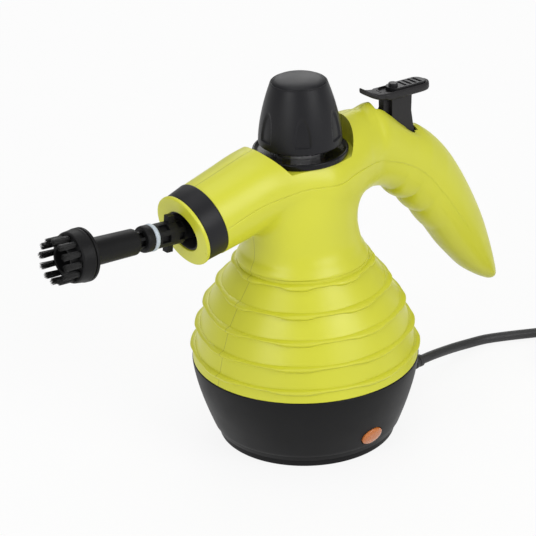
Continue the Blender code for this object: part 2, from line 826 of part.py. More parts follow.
def make_housing():
    half = loft("housing_left", body_rings(), lime())
    head = loft("head_form", head_rings(SECTION_POINTS), cutter=True)
    head_void = loft("head_void", head_rings(VOID_POINTS, HOUSING_WALL, OVERRUN), cutter=True)
    cut(head_void, rod("pocket_guard", POCKET_RADIUS + HOUSING_WALL, POCKET_FLOOR - HOUSING_WALL,
                       RIDGE_HEIGHT + POCKET_RADIUS, steps=FINE_STEPS, cutter=True))
    body_void = loft("body_void", body_void_rings(), cutter=True)
    pocket = rod("pocket", POCKET_RADIUS, POCKET_FLOOR, RIDGE_HEIGHT + POCKET_RADIUS,
                 steps=FINE_STEPS, cutter=True)
    hole = rod("pocket_hole", POCKET_HOLE, POCKET_FLOOR - COLLAR_RADIUS, RIDGE_HEIGHT,
               steps=FINE_STEPS, cutter=True)
    slot_half = LEVER_BLADE / 2 + SLOT_CLEARANCE
    slot = box("lever_slot", (LEVER_FRONT - LEVER_BLADE, -slot_half, LEVER_FOOT),
               (LEVER_TAIL_X + LEVER_BLADE / 2, slot_half, RIDGE_HEIGHT + OVERRUN), cutter=True)
    join(half, head)
    cut(half, head_void, body_void, pocket, hole, slot)
    for i, (x, z, span) in enumerate(boss_places()):
        join(half, rod(f"boss_{i}", BOSS_RADIUS, -span, 0.0, place=across(x, z), steps=8,
                       cutter=True))
        cut(half, rod(f"boss_bore_{i}", SCREW_RADIUS + GAP, -SCREW_LENGTH + BOSS_SEAT - OVERRUN,
                      OVERRUN, place=across(x, z), steps=8, cutter=True))
    pivot_x, pivot_z = LEVER_PIVOT
    pivot = rod("pivot_boss", LEVER_PIVOT_RADIUS, -LEVER_PIN_LENGTH / 2 - HOUSING_WALL / 2,
                -slot_half, place=across(pivot_x, pivot_z), cutter=True)
    join(half, pivot)
    cut(half, rod("pivot_bore", LEVER_PIN_RADIUS + GAP, -LEVER_PIN_LENGTH / 2 - GAP, 0.0,
                  place=across(pivot_x, pivot_z), cutter=True))
    cradle_half = VALVE_RADIUS / 2
    join(half, box("valve_cradle", (VALVE_X - cradle_half, -2.3 * VALVE_RADIUS, VALVE_BOTTOM),
                   (VALVE_X + cradle_half, -VALVE_RADIUS - GAP, VALVE_INLET_Z), cutter=True))
    reach = HANDLE_REACH + FOOT_RADIUS
    cut(half, box("right_side", (-reach, -GAP / 2, -OVERRUN),
                  (reach, reach, RIDGE_HEIGHT + POCKET_RADIUS), cutter=True), solver="MANIFOLD")

    mirrored = evaluated_mesh(half)
    mirrored.transform(Matrix.Scale(-1.0, 4, (0.0, 1.0, 0.0)))
    mirrored.flip_normals()
    mirrored.name = "housing_right"
    right = add_object("housing_right", mirrored)
    for i, (x, z, span) in enumerate(boss_places()):
        cut(right, rod(f"head_bore_{i}", SCREW_HEAD_RADIUS + GAP, BOSS_SEAT,
                       span + HEAD_HALF_WIDTH, place=across(x, z), steps=8, cutter=True))
        cut(right, rod(f"shank_bore_{i}", SCREW_RADIUS + GAP, -OVERRUN, BOSS_SEAT + GAP,
                       place=across(x, z), steps=8, cutter=True))


def make_housing_screws():
    """Pan head screws from the right half into the bosses of the left half."""
    head_top = BOSS_SEAT + GAP + SCREW_HEAD
    profile = [(0.0, head_top), (SCREW_HEAD_RADIUS * 0.7, head_top),
               (SCREW_HEAD_RADIUS, head_top - SCREW_HEAD / 2), (SCREW_HEAD_RADIUS, BOSS_SEAT + GAP),
               (SCREW_RADIUS, BOSS_SEAT + GAP), (SCREW_RADIUS, BOSS_SEAT - SCREW_LENGTH),
               (0.0, BOSS_SEAT - SCREW_LENGTH)]
    for i, (x, z, _) in enumerate(boss_places(), 1):
        lathe(f"housing_screw_{i}", profile, steel(), across(x, z), steps=8, closed=False)


# Base
def make_base():
    bottom = COVER_HEIGHT + GAP
    lip_out = (wall_radius(lip_top()) - HOUSING_WALL) * math.cos(math.pi / BODY_VOID_POINTS) - GAP
    lip_in = lip_out - BASE_WALL * 0.8
    floor_top = bottom + BASE_FLOOR
    inner_top = BASE_HEIGHT - BASE_LIP_RISE
    outer = base_rows(BASE_HEIGHT, bottom, 4, 0.0)
    inner = base_rows(floor_top, inner_top, 3, BASE_WALL)
    profile = (outer + [(LEDGE_RADIUS, bottom), (LEDGE_RADIUS, floor_top)] + inner
               + [(lip_in, inner_top + BASE_WALL), (lip_in, lip_top()), (lip_out, lip_top()),
                  (lip_out, BASE_HEIGHT)])
    shell = lathe("base_shell", profile, base_black(), steps=FINE_STEPS)
    post_top = FLANGE_MIDDLE - FLANGE_SEAL - FLANGE_THICKNESS - GAP
    for i, degrees in enumerate(POST_ANGLES_DEG):
        place = post_place(degrees)
        join(shell, rod(f"post_{i}", POST_RADIUS, bottom + BASE_FLOOR / 2, post_top,
                        place=place, cutter=True))
        cut(shell, rod(f"post_bore_{i}", BASE_SCREW_RADIUS + GAP, bottom - OVERRUN,
                       BASE_SCREW_LENGTH + OVERRUN, place=place, steps=8, cutter=True))
    cut(shell, lens_form("lens_hole", GAP, -LENS_DEPTH - BASE_WALL, LENS_PROUD + OVERRUN, True))
    cut(shell, rod("cord_hole", RELIEF_NECK_RADIUS, 0.0, FOOT_RADIUS * 2,
                   place=cord_frame(), cutter=True),
        rod("relief_pocket", RELIEF_FLANGE_RADIUS + GAP, 0.0, relief_face() + GAP,
            place=cord_frame(), cutter=True))

    plate = [(0.0, COVER_PLATE), (LEDGE_RADIUS, COVER_PLATE), (LEDGE_RADIUS, COVER_HEIGHT),
             (FOOT_RADIUS, COVER_HEIGHT),
             (FOOT_RADIUS, COVER_HEIGHT * 0.15), (FOOT_RADIUS - COVER_HEIGHT * 0.15, 0.0),
             (0.0, 0.0)]
    cover = lathe("bottom_cover", plate, base_black(), steps=FINE_STEPS, closed=False)
    for i, degrees in enumerate(POST_ANGLES_DEG):
        place = post_place(degrees)
        cut(cover, rod(f"cover_bore_{i}", BASE_SCREW_RADIUS + GAP, -OVERRUN,
                       COVER_HEIGHT + OVERRUN, place=place, steps=8, cutter=True),
            rod(f"cover_sink_{i}", BASE_SCREW_HEAD + GAP, -OVERRUN, COVER_PLATE,
                place=place, steps=8, cutter=True))
    for i in range(VENT_COUNT):
        place = Matrix.Translation(polar(VENT_CIRCLE, 360.0 * i / VENT_COUNT))
        cut(cover, rod(f"vent_{i}", VENT_RADIUS, -OVERRUN, COVER_HEIGHT, place=place,
                       steps=6, cutter=True), solver="MANIFOLD")

    head_top = COVER_PLATE - GAP
    profile = [(0.0, BASE_SCREW_LENGTH), (BASE_SCREW_RADIUS, BASE_SCREW_LENGTH),
               (BASE_SCREW_RADIUS, head_top), (BASE_SCREW_HEAD, head_top),
               (BASE_SCREW_HEAD, head_top / 3), (0.0, head_top / 3)]
    for i, degrees in enumerate(POST_ANGLES_DEG, 1):
        lathe(f"base_screw_{i}", profile, steel(), post_place(degrees),
              steps=8, closed=False)


def lens_frame():
    """At the base wall on the -Y side, local Z along the wall's outward normal."""
    step = OVERRUN
    lean = (base_radius(LENS_Z + step) - base_radius(LENS_Z - step)) / (2 * step)
    return aim((0.0, -base_radius(LENS_Z), LENS_Z), (0.0, -1.0, -lean))


def lens_form(name, grow, low, high, cutter=False, finish=None):
    if cutter:
        rows = [(low, 1.0), (high, 1.0)]
    else:
        rows = [(low, 0.84), (high * 0.1, 0.97), (high * 0.5, 0.94), (high * 0.85, 0.75),
                (high, 0.4)]
    rings = []
    for height, share in rows:
        rings.append([((LENS_HALF_HEIGHT * share + grow) * math.cos(math.tau * i / 24),
                       (LENS_HALF_WIDTH * share + grow) * math.sin(math.tau * i / 24), height)
                      for i in range(24)])
    return loft(name, rings, finish, lens_frame(), cutter)


def make_lamp():
    lens_form("indicator_lens", 0.0, -LENS_DEPTH, LENS_PROUD,
              finish=material("orange_lens", ORANGE, 0.2))
    top = -LENS_DEPTH - GAP
    rod("neon_lamp", LAMP_RADIUS, top - LAMP_LENGTH, top, material("lamp_glass", GLASS, 0.1),
        lens_frame())


def cord_frame():
    """On the body axis at the cord's height, local Z to +X."""
    return aim((0.0, 0.0, CORD_EXIT_Z), (1.0, 0.0, 0.0))


def relief_start():
    return base_radius(CORD_EXIT_Z)


def relief_face():
    """Distance from the axis at which the relief's inner flange backs the base's wall."""
    return relief_start() - BASE_WALL * 1.7


def make_wiring():
    collar = base_radius(CORD_EXIT_Z + RELIEF_COLLAR_RADIUS) + GAP
    tip = relief_start() + RELIEF_LENGTH
    profile = [(0.0, tip), (RELIEF_TIP_RADIUS, tip),
               (RELIEF_NECK_RADIUS, collar + 2.5 * BASE_WALL),
               (RELIEF_COLLAR_RADIUS, collar + 1.5 * BASE_WALL),
               (RELIEF_COLLAR_RADIUS, collar), (RELIEF_NECK_RADIUS - GAP, collar),
               (RELIEF_NECK_RADIUS - GAP, relief_face()), (RELIEF_FLANGE_RADIUS, relief_face()),
               (RELIEF_FLANGE_RADIUS, relief_face() - RELIEF_FLANGE),
               (0.0, relief_face() - RELIEF_FLANGE)]
    lathe("strain_relief", profile, cord_black(), cord_frame(), steps=16, closed=False)
    lead_end = relief_face() - RELIEF_FLANGE - GAP
    block_face = BLOCK_X + BLOCK_LENGTH / 2 + GAP
    tube("inner_lead", [(block_face, 0.0, CORD_EXIT_Z),
                        ((block_face + lead_end) / 2, 0.0, CORD_EXIT_Z),
                        (lead_end, 0.0, CORD_EXIT_Z)], CORD_RADIUS, cord_black())
    floor = COVER_PLATE + GAP
    block = box("terminal_block", (BLOCK_X - BLOCK_LENGTH / 2, -BLOCK_WIDTH / 2, floor),
                (BLOCK_X + BLOCK_LENGTH / 2, BLOCK_WIDTH / 2, floor + BLOCK_HEIGHT + CORD_RADIUS),
                white_ceramic())
    block_top = floor + BLOCK_HEIGHT + CORD_RADIUS
    for i, y in enumerate((-BLOCK_WIDTH / 3, 0.0, BLOCK_WIDTH / 3)):
        cut(block, rod(f"terminal_{i}", BLOCK_WIDTH / 9, block_top - BLOCK_HEIGHT / 3,
                       block_top + OVERRUN, steps=8, cutter=True,
                       place=Matrix.Translation((BLOCK_X, y, 0.0))))
    ledge_top = COVER_HEIGHT + GAP + BASE_FLOOR
    clamp_rear = relief_face() - RELIEF_FLANGE - CLAMP_CLEARANCE
    clamp = box("cord_clamp", (clamp_rear - CLAMP_LENGTH, -CLAMP_WIDTH / 2, ledge_top + GAP),
                (clamp_rear, CLAMP_WIDTH / 2,
                 CORD_EXIT_Z + CORD_RADIUS + BASE_WALL), white_ceramic())
    cut(clamp, rod("clamp_tunnel", CORD_RADIUS + GAP, 0.0, FOOT_RADIUS * 2,
                   place=cord_frame(), cutter=True))


# Boiler and heater
def make_boiler():
    body = boiler_radius()
    rim = flange_radius()
    inner = body - BOILER_WALL
    seal = FLANGE_SEAL
    up = FLANGE_MIDDLE + seal
    dome = BOILER_DOME
    neck_out = NECK_BORE + NECK_WALL
    dome_shares = ((0.12, 1.0), (0.48, 0.91), (0.80, 0.63), (0.95, 0.38))
    outer = [(neck_out, NECK_TOP), (neck_out, up + dome)]
    outer += [(body * wide, up + dome * rise) for rise, wide in reversed(dome_shares)]
    flange = [(body, up + FLANGE_THICKNESS), (rim, up + FLANGE_THICKNESS),
              (rim, up), (inner, up)]
    lining = [(inner * wide, up + (dome - BOILER_WALL) * rise) for rise, wide in dome_shares]
    lining += [(NECK_BORE, up + dome - BOILER_WALL), (NECK_BORE, NECK_TOP)]
    upper = lathe("boiler_upper", outer + flange + lining, aluminium(), steps=ROUND_STEPS)
    boss_place = Matrix.Translation((PIPE_BOSS_X, 0.0, 0.0))
    join(upper, rod("pipe_boss", PIPE_BOSS_RADIUS, PIPE_BOSS_TOP - PIPE_BOSS_HEIGHT,
                    PIPE_BOSS_TOP, place=boss_place, cutter=True))
    cut(upper, rod("boss_clear", inner * 0.52, up, up + (dome - BOILER_WALL) * 0.85,
                   cutter=True),
        rod("pipe_boss_bore", PIPE_RADIUS * 0.7, up, PIPE_BOSS_TOP + OVERRUN,
            place=boss_place, steps=8, cutter=True))

    down = FLANGE_MIDDLE - seal
    depth = down - BOILER_BOTTOM
    cup_shares = ((1.0, 0.80), (0.97, 0.40), (0.86, 0.10), (0.64, 0.0))
    inside = [(0.0, BOILER_BOTTOM + BOILER_WALL)]
    inside += [(inner * wide, BOILER_BOTTOM + BOILER_WALL + (depth - BOILER_WALL) * rise)
               for wide, rise in reversed(cup_shares)]
    inside += [(inner, down), (rim, down), (rim, down - FLANGE_THICKNESS),
               (body, down - FLANGE_THICKNESS)]
    inside += [(body * wide, BOILER_BOTTOM + depth * rise) for wide, rise in cup_shares]
    inside += [(0.0, BOILER_BOTTOM)]
    lower = lathe("boiler_lower", inside, aluminium(), steps=ROUND_STEPS, closed=False)

    lathe("boiler_gasket", [(body + GAP, FLANGE_MIDDLE + seal - GAP),
                            (body + GAP, FLANGE_MIDDLE - seal + GAP),
                            (inner + GAP, FLANGE_MIDDLE - seal + GAP),
                            (inner + GAP, FLANGE_MIDDLE + seal - GAP)],
          red_seal(), steps=ROUND_STEPS)
    head_low = up + FLANGE_THICKNESS + GAP
    nut_high = down - FLANGE_THICKNESS - GAP
    profile = [(0.0, head_low + BOLT_HEAD_HEIGHT), (BOLT_HEAD_RADIUS, head_low + BOLT_HEAD_HEIGHT),
               (BOLT_HEAD_RADIUS, head_low), (BOLT_RADIUS, head_low), (BOLT_RADIUS, nut_high),
               (BOLT_HEAD_RADIUS, nut_high), (BOLT_HEAD_RADIUS, nut_high - BOLT_HEAD_HEIGHT),
               (0.0, nut_high - BOLT_HEAD_HEIGHT)]
    for i in range(BOLT_COUNT):
        place = Matrix.Translation(polar(rim - BOLT_INSET, 360.0 * i / BOLT_COUNT))
        for flanged in (upper, lower):
            cut(flanged, rod(f"bolt_bore_{flanged.name}_{i}", BOLT_RADIUS + 2 * GAP,
                             down - 2 * FLANGE_THICKNESS, up + 2 * FLANGE_THICKNESS,
                             place=place, steps=6, cutter=True), solver="MANIFOLD")
        lathe(f"boiler_bolt_{i + 1}", profile, steel(), place, HEX_STEPS, closed=False)


def make_heater():
    seat = BOILER_BOTTOM - GAP
    height = seat - HEATER_TUBE
    first, last = HEATER_OPEN_DEG / 2, 360.0 - HEATER_OPEN_DEG / 2
    count = 16
    ring = [polar(HEATER_RADIUS, first + (last - first) * i / count, height)
            for i in range(count + 1)]
    low = height - HEATER_LEG
    start, end = ring[0], ring[-1]
    path = [Vector((start.x + HEATER_TUBE, start.y, low)), Vector((start.x + HEATER_TUBE / 2,
            start.y, height - HEATER_TUBE)), *ring, Vector((end.x + HEATER_TUBE / 2, end.y,
            height - HEATER_TUBE)), Vector((end.x + HEATER_TUBE, end.y, low))]
    turned = Matrix.Rotation(math.pi, 4, "Z")
    tube("heating_element", [turned @ p for p in path], HEATER_TUBE * 0.92, steel(), 1)
    lathe("thermostat", [(0.0, seat), (THERMOSTAT_RADIUS, seat),
                         (THERMOSTAT_RADIUS, seat - THERMOSTAT_HEIGHT / 2),
                         (THERMOSTAT_RADIUS * 0.7, seat - THERMOSTAT_HEIGHT / 2),
                         (THERMOSTAT_RADIUS * 0.7, seat - THERMOSTAT_HEIGHT),
                         (0.0, seat - THERMOSTAT_HEIGHT)], white_ceramic(), steps=16, closed=False)
    rod("thermal_fuse", FUSE_RADIUS, -FUSE_LENGTH / 2, FUSE_LENGTH / 2, white_ceramic(),
        across(FUSE_X, seat - FUSE_RADIUS), steps=8)


# Collar and cap
def make_collar():
    floor = POCKET_FLOOR + GAP
    lip = POCKET_FLOOR + COLLAR_LIP
    hub = NECK_BORE + NECK_WALL + 2 * GAP
    skirt_out = POCKET_HOLE - GAP
    dish = floor + COLLAR_WALL
    lathe("filler_collar", [(COLLAR_RADIUS - COLLAR_WALL * 0.8, lip),
                            (COLLAR_RADIUS, lip - COLLAR_WALL * 0.4),
                            (COLLAR_RADIUS - GAP, floor), (skirt_out, floor),
                            (skirt_out, floor - COLLAR_SKIRT),
                            (skirt_out - COLLAR_WALL, floor - COLLAR_SKIRT),
                            (skirt_out - COLLAR_WALL, dish - COLLAR_WALL), (hub, dish - COLLAR_WALL),
                            (hub, dish), ((hub + COLLAR_RADIUS) / 2, dish + GAP)],
          gloss_black(), steps=FINE_STEPS)


def cap_radius(share):
    return CAP_RADIUS - (CAP_RADIUS - CAP_SHOULDER_RADIUS) * share ** CAP_TAPER_SHARE


def make_cap():
    crease = CAP_BOTTOM + CAP_HEIGHT
    rows = 5
    outer = [(cap_radius(1 - i / rows), crease - CAP_HEIGHT * i / rows) for i in range(rows)]
    lip_top = CAP_BOTTOM + CAP_LIP_HEIGHT
    inner_top = crease - CAP_WALL
    span = inner_top - lip_top
    inner = [(cap_radius((lip_top - CAP_BOTTOM + span * i / 2) / CAP_HEIGHT) - CAP_WALL,
              lip_top + span * i / 2) for i in range(3)]
    profile = ([(0.0, crease + CAP_DOME), (CAP_SHOULDER_RADIUS * 0.5, crease + CAP_DOME * 0.93),
                (CAP_SHOULDER_RADIUS * 0.9, crease + CAP_DOME * 0.68)] + outer
               + [(CAP_RADIUS, CAP_BOTTOM + CAP_LIP_HEIGHT / 2),
                  (CAP_RADIUS - CAP_LIP_HEIGHT / 2, CAP_BOTTOM),
                  (CAP_RADIUS - CAP_WALL - CAP_LIP_WIDTH, CAP_BOTTOM),
                  (CAP_RADIUS - CAP_WALL - CAP_LIP_WIDTH, lip_top)] + inner + [(0.0, inner_top)])
    shell = lathe("cap_shell", profile, cap_black(), steps=FINE_STEPS, closed=False)
    half = CAP_FLUTE_WIDTH / 2
    arch = [(half, 0.0), (half * 0.92, CAP_FLUTE_HEIGHT * 0.35), (half * 0.62, CAP_FLUTE_HEIGHT * 0.7),
            (half * 0.25, CAP_FLUTE_HEIGHT * 0.94), (0.0, CAP_FLUTE_HEIGHT)]
    arch += [(-x, z) for x, z in reversed(arch[:-1])]
    low_share = CAP_FLUTE_RAISE / CAP_HEIGHT
    high_share = (CAP_FLUTE_RAISE + CAP_FLUTE_HEIGHT) / CAP_HEIGHT
    lean = math.atan2(cap_radius(low_share) - cap_radius(high_share), CAP_FLUTE_HEIGHT)
    for i in range(CAP_FLUTES):
        turn = Matrix.Rotation(math.radians(CAP_FLUTE_PHASE_DEG + 360.0 * i / CAP_FLUTES), 4, "Z")
        shift = Matrix.Translation((cap_radius(low_share) - CAP_FLUTE_DEPTH, 0.0,
                                    CAP_BOTTOM + CAP_FLUTE_RAISE))
        rings = [[(out, x, z) for x, z in arch] for out in (0.0, OVERRUN)]
        cut(shell, loft(f"flute_{i}", rings, place=turn @ shift @ Matrix.Rotation(-lean, 4, "Y"),
                        cutter=True))

    flange_low = lip_top + GAP
    flange_top = flange_low + PLUG_FLANGE
    hub_low = NECK_TOP + GAP + GASKET_THICKNESS + GAP
    boss_top = flange_top + PLUG_BOSS_HEIGHT
    pin_top = boss_top + PLUG_PIN_HEIGHT
    stem = NECK_BORE - 2 * GAP
    lathe("cap_plug", [(0.0, pin_top), (PLUG_PIN_RADIUS, pin_top), (PLUG_PIN_RADIUS, boss_top),
                       (PLUG_BOSS_RADIUS, boss_top), (PLUG_BOSS_RADIUS, flange_top),
                       (PLUG_FLANGE_RADIUS, flange_top), (PLUG_FLANGE_RADIUS, flange_low),
                       (PLUG_HUB_RADIUS, flange_low), (PLUG_HUB_RADIUS, hub_low), (stem, hub_low),
                       (stem, hub_low - PLUG_STEM_LENGTH), (0.0, hub_low - PLUG_STEM_LENGTH)],
          gloss_black(), closed=False)
    lathe("cap_gasket", [(NECK_BORE + NECK_WALL, hub_low - GAP),
                         (NECK_BORE + NECK_WALL, NECK_TOP + GAP), (NECK_BORE + GAP, NECK_TOP + GAP),
                         (NECK_BORE + GAP, hub_low - GAP)], red_seal(), steps=ROUND_STEPS)
    coil_spring("cap_spring", CAP_SPRING_RADIUS, CAP_SPRING_WIRE, CAP_SPRING_TURNS,
                boss_top + GAP, inner_top - GAP)


def coil_spring(name, radius, wire, turns, low, high, centre=(0.0, 0.0)):
    """A compression spring between two heights, as one unbroken wire."""
    per_turn = 8
    bottom, top = low + wire, high - wire
    count = turns * per_turn
    points = []
    for i in range(count + 1):
        spot = polar(radius, 360.0 * i / per_turn, bottom + (top - bottom) * i / count)
        points.append(spot + Vector((*centre, 0.0)))
    return tube(name, points, wire, steel(), 1)


# Spout end
def make_spout_end():
    frame = spout_frame()
    back = RING_LENGTH
    sleeve_in = RING_SLEEVE_RADIUS - RING_SLEEVE_WALL
    lathe("spout_end_ring", [(SPOUT_FACE_RADIUS - RING_ROUND, 0.0),
                             (SPOUT_FACE_RADIUS - RING_ROUND * 0.3, -RING_ROUND * 0.35),
                             (SPOUT_FACE_RADIUS, -RING_ROUND), (SPOUT_FACE_RADIUS, -back),
                             (RING_SLEEVE_RADIUS, -back),
                             (RING_SLEEVE_RADIUS, -back - RING_SLEEVE_LENGTH),
                             (sleeve_in, -back - RING_SLEEVE_LENGTH), (sleeve_in, -back * 1.5),
                             (RING_BORE, -back * 1.2), (RING_BORE, -RING_ROUND * 0.4),
                             (RING_BORE + RING_ROUND * 0.4, 0.0)], lime(), frame,
          steps=FINE_STEPS)
    front = -back - GAP
    lathe("spout_band", [(BAND_FRONT_RADIUS, front), (BAND_BACK_RADIUS, front - BAND_LENGTH),
                         (RING_SLEEVE_RADIUS + GAP, front - BAND_LENGTH),
                         (RING_SLEEVE_RADIUS + GAP, front)], base_black(), frame,
          steps=FINE_STEPS)
    mouth = RING_BORE - GAP
    recess = -RING_ROUND * 0.5
    socket = lathe("outlet_socket", [(0.0, -SOCKET_DEPTH), (SOCKET_FLOOR_RADIUS, -SOCKET_DEPTH),
                                     (mouth - SOCKET_WALL * 0.4, recess), (mouth, recess),
                                     (mouth, -back * 1.2),
                                     (SOCKET_FLOOR_RADIUS + SOCKET_WALL, -SOCKET_DEPTH - SOCKET_WALL),
                                     (0.0, -SOCKET_DEPTH - SOCKET_WALL)],
                   base_black(), frame, closed=False)
    cut(socket, rod("spigot_hole", SPIGOT_ROOT_RADIUS + GAP, -2 * SPIGOT_ROOT_LENGTH,
                    SPIGOT_ROOT_LENGTH, place=nozzle_frame(), steps=16, cutter=True))


def nozzle_frame():
    rise = math.radians(NOZZLE_RISE_DEG)
    return aim((NOZZLE_START[0], 0.0, NOZZLE_START[1]), (-math.cos(rise), 0.0, math.sin(rise)))


def make_spigot():
    frame = nozzle_frame()
    groove_to = SPIGOT_BARREL_TO + SPIGOT_GROOVE_LENGTH
    flange_to = groove_to + SPIGOT_FLANGE_LENGTH
    spigot = lathe("steam_spigot", [(SPIGOT_BORE, SPIGOT_CORE_TO),
                                    (SPIGOT_CORE_RADIUS * 0.8, SPIGOT_CORE_TO),
                                    (SPIGOT_CORE_RADIUS, SPIGOT_CORE_TO - SPIGOT_CORE_RADIUS / 3),
                                    (SPIGOT_CORE_RADIUS, flange_to),
                                    (SPIGOT_FLANGE_RADIUS * 0.94, flange_to),
                                    (SPIGOT_FLANGE_RADIUS, flange_to - SPIGOT_FLANGE_LENGTH / 4),
                                    (SPIGOT_FLANGE_RADIUS, groove_to),
                                    (SPIGOT_GROOVE_RADIUS, groove_to),
                                    (SPIGOT_GROOVE_RADIUS, SPIGOT_BARREL_TO),
                                    (SPIGOT_BARREL_RADIUS, SPIGOT_BARREL_TO),
                                    (SPIGOT_BARREL_RADIUS, SPIGOT_BARREL_FROM),
                                    (SPIGOT_ROOT_RADIUS, SPIGOT_BARREL_FROM),
                                    (SPIGOT_ROOT_RADIUS, -SPIGOT_ROOT_LENGTH),
                                    (SPIGOT_BORE, -SPIGOT_ROOT_LENGTH)], base_black(), frame,
                   steps=SMALL_STEPS)
    half = LUG_WIDTH / 2
    join(spigot, box("lugs", (-LUG_REACH, -half, LUG_FROM), (LUG_REACH, half, LUG_FROM + LUG_LENGTH),
                     place=frame, cutter=True))
    cut(spigot, rod("spigot_bore", SPIGOT_BORE, -2 * SPIGOT_ROOT_LENGTH, 2 * SPIGOT_CORE_TO,
                    place=frame, steps=8, cutter=True))
    window_from = SPIGOT_BARREL_TO - WINDOW_LENGTH * 1.3
    for i in range(4):
        turn = Matrix.Rotation(math.tau * (i + 0.5) / 4, 4, "Z")
        cut(spigot, box(f"window_{i}", (SPIGOT_BARREL_RADIUS - WINDOW_DEPTH, -half, window_from),
                        (SPIGOT_BARREL_RADIUS + OVERRUN, half, window_from + WINDOW_LENGTH),
                        place=frame @ turn, cutter=True))
        cut(spigot, box(f"core_notch_{i}", (SPIGOT_CORE_RADIUS - CORE_NOTCH_DEPTH,
                                            -SPIGOT_CORE_RADIUS / 3, flange_to),
                        (SPIGOT_CORE_RADIUS + OVERRUN, SPIGOT_CORE_RADIUS / 3,
                         SPIGOT_CORE_TO + OVERRUN), place=frame @ turn, cutter=True))
    ring_in = SPIGOT_GROOVE_RADIUS + GAP
    ring_out = SPIGOT_GROOVE_RADIUS + O_RING_PROUD
    low, high = SPIGOT_BARREL_TO + GAP, groove_to - GAP
    soft = (high - low) / 4
    lathe("spigot_o_ring", [(ring_out - soft, high), (ring_out, high - soft), (ring_out, low + soft),
                            (ring_out - soft, low), (ring_in, low), (ring_in, high)],
          material("pale_silicone", PALE_SEAL, 0.5), frame)


def brush_face():
    """Distance along the nozzle of the disc in which the tufts stand."""
    return BRUSH_HEAD_FROM + BRUSH_HEAD_LENGTH


def make_brush():
    frame = nozzle_frame()
    rim = BRUSH_HEAD_RADIUS
    start = BRUSH_HEAD_FROM
    face = brush_face()
    groove = BRUSH_GROOVE
    first = start + BRUSH_FLANGE
    second = first + BRUSH_GROOVE
    bore = SPIGOT_CORE_RADIUS + GAP
    seat = SPIGOT_CORE_TO + 2 * GAP
    hub_top = face + BRUSH_HUB_HEIGHT
    lathe("brush_body", [(BRUSH_HUB_RADIUS - GAP, hub_top), (BRUSH_HUB_RADIUS, face),
                         (rim * 0.91, face), (rim * 0.94, face - groove),
                         (rim * 0.98, second + BRUSH_FLANGE),
                         (rim, second + BRUSH_FLANGE - groove), (rim, second), (rim - groove, second),
                         (rim - groove, first), (rim, first), (rim, start), (rim - groove, start),
                         (BRUSH_SLEEVE_END_RADIUS, start - groove),
                         (BRUSH_SLEEVE_RADIUS, BRUSH_FROM + groove),
                         (BRUSH_SLEEVE_RADIUS - groove / 2, BRUSH_FROM), (bore, BRUSH_FROM),
                         (bore, seat), (BRUSH_JET_RADIUS, seat),
                         (BRUSH_JET_RADIUS, start + BRUSH_FLANGE), (BRUSH_HOLE_RADIUS, second),
                         (BRUSH_HOLE_RADIUS, hub_top)], base_black(), frame, steps=ROUND_STEPS)

    floor = face + GAP
    backing = lathe("brush_bristles", [(rim * 0.9, floor + BACKING_THICKNESS), (rim * 0.9, floor),
                                       (BRUSH_HUB_RADIUS + GAP, floor),
                                       (BRUSH_HUB_RADIUS + GAP, floor + BACKING_THICKNESS)],
                    gloss_black(), frame, steps=ROUND_STEPS)
    join(backing, bristle_strands(frame, floor + BACKING_THICKNESS / 2))


def bristle_strands(frame, root):
    """All strands of the tufts, each tuft a sunflower pattern that opens toward its tips."""
    golden = math.pi * (3 - math.sqrt(5))
    bm = bmesh.new()
    for tuft in range(TUFT_COUNT):
        centre = polar(TUFT_CIRCLE, 360.0 * tuft / TUFT_COUNT)
        for strand in range(TUFT_STRANDS):
            spot = TUFT_RADIUS * math.sqrt((strand + 0.5) / TUFT_STRANDS)
            angle = strand * golden + tuft
            foot = Vector((spot * math.cos(angle), spot * math.sin(angle), 0.0))
            tip = foot * STRAND_SPLAY_SHARE
            tip.z = TUFT_LENGTH * (0.94 + 0.06 * math.cos(strand * golden * 2))
            corners = [[centre + end + polar(STRAND_RADIUS * share, 360.0 * k / STRAND_SIDES
                                             + math.degrees(angle))
                        for k in range(STRAND_SIDES)] for end, share in ((foot, 1.0), (tip, 0.8))]
            low = [bm.verts.new(p + Vector((0.0, 0.0, root))) for p in corners[0]]
            high = [bm.verts.new(p + Vector((0.0, 0.0, root))) for p in corners[1]]
            for k in range(STRAND_SIDES):
                n = (k + 1) % STRAND_SIDES
                bm.faces.new((low[k], low[n], high[n], high[k]))
            bm.faces.new(list(reversed(low)))
            bm.faces.new(high)
    mesh = bpy.data.meshes.new("bristle_strands")
    bm.to_mesh(mesh)
    bm.free()
    return add_object("bristle_strands", mesh, None, frame, cutter=True)


# Lever and valve
def pad_height(x):
    """Top of the lever's pad and tongue at a place along it."""
    if x >= PAD_FRONT:
        return PAD_TOP - PAD_DROP * (x - PAD_FRONT) / (PAD_REAR - PAD_FRONT)
    return PAD_TOP + TONGUE_CURL * ((PAD_FRONT - x) / TONGUE_LENGTH) ** 2


def pad_ring(x, half_width, thickness):
    top = pad_height(x)
    corner = min(thickness, half_width) * 0.3
    low = top - thickness
    shape = [(half_width - corner, top), (half_width, top - corner), (half_width, low + corner),
             (half_width - corner, low)]
    shape += [(-y, z) for y, z in reversed(shape)]
    return [(x, y, z) for y, z in shape]


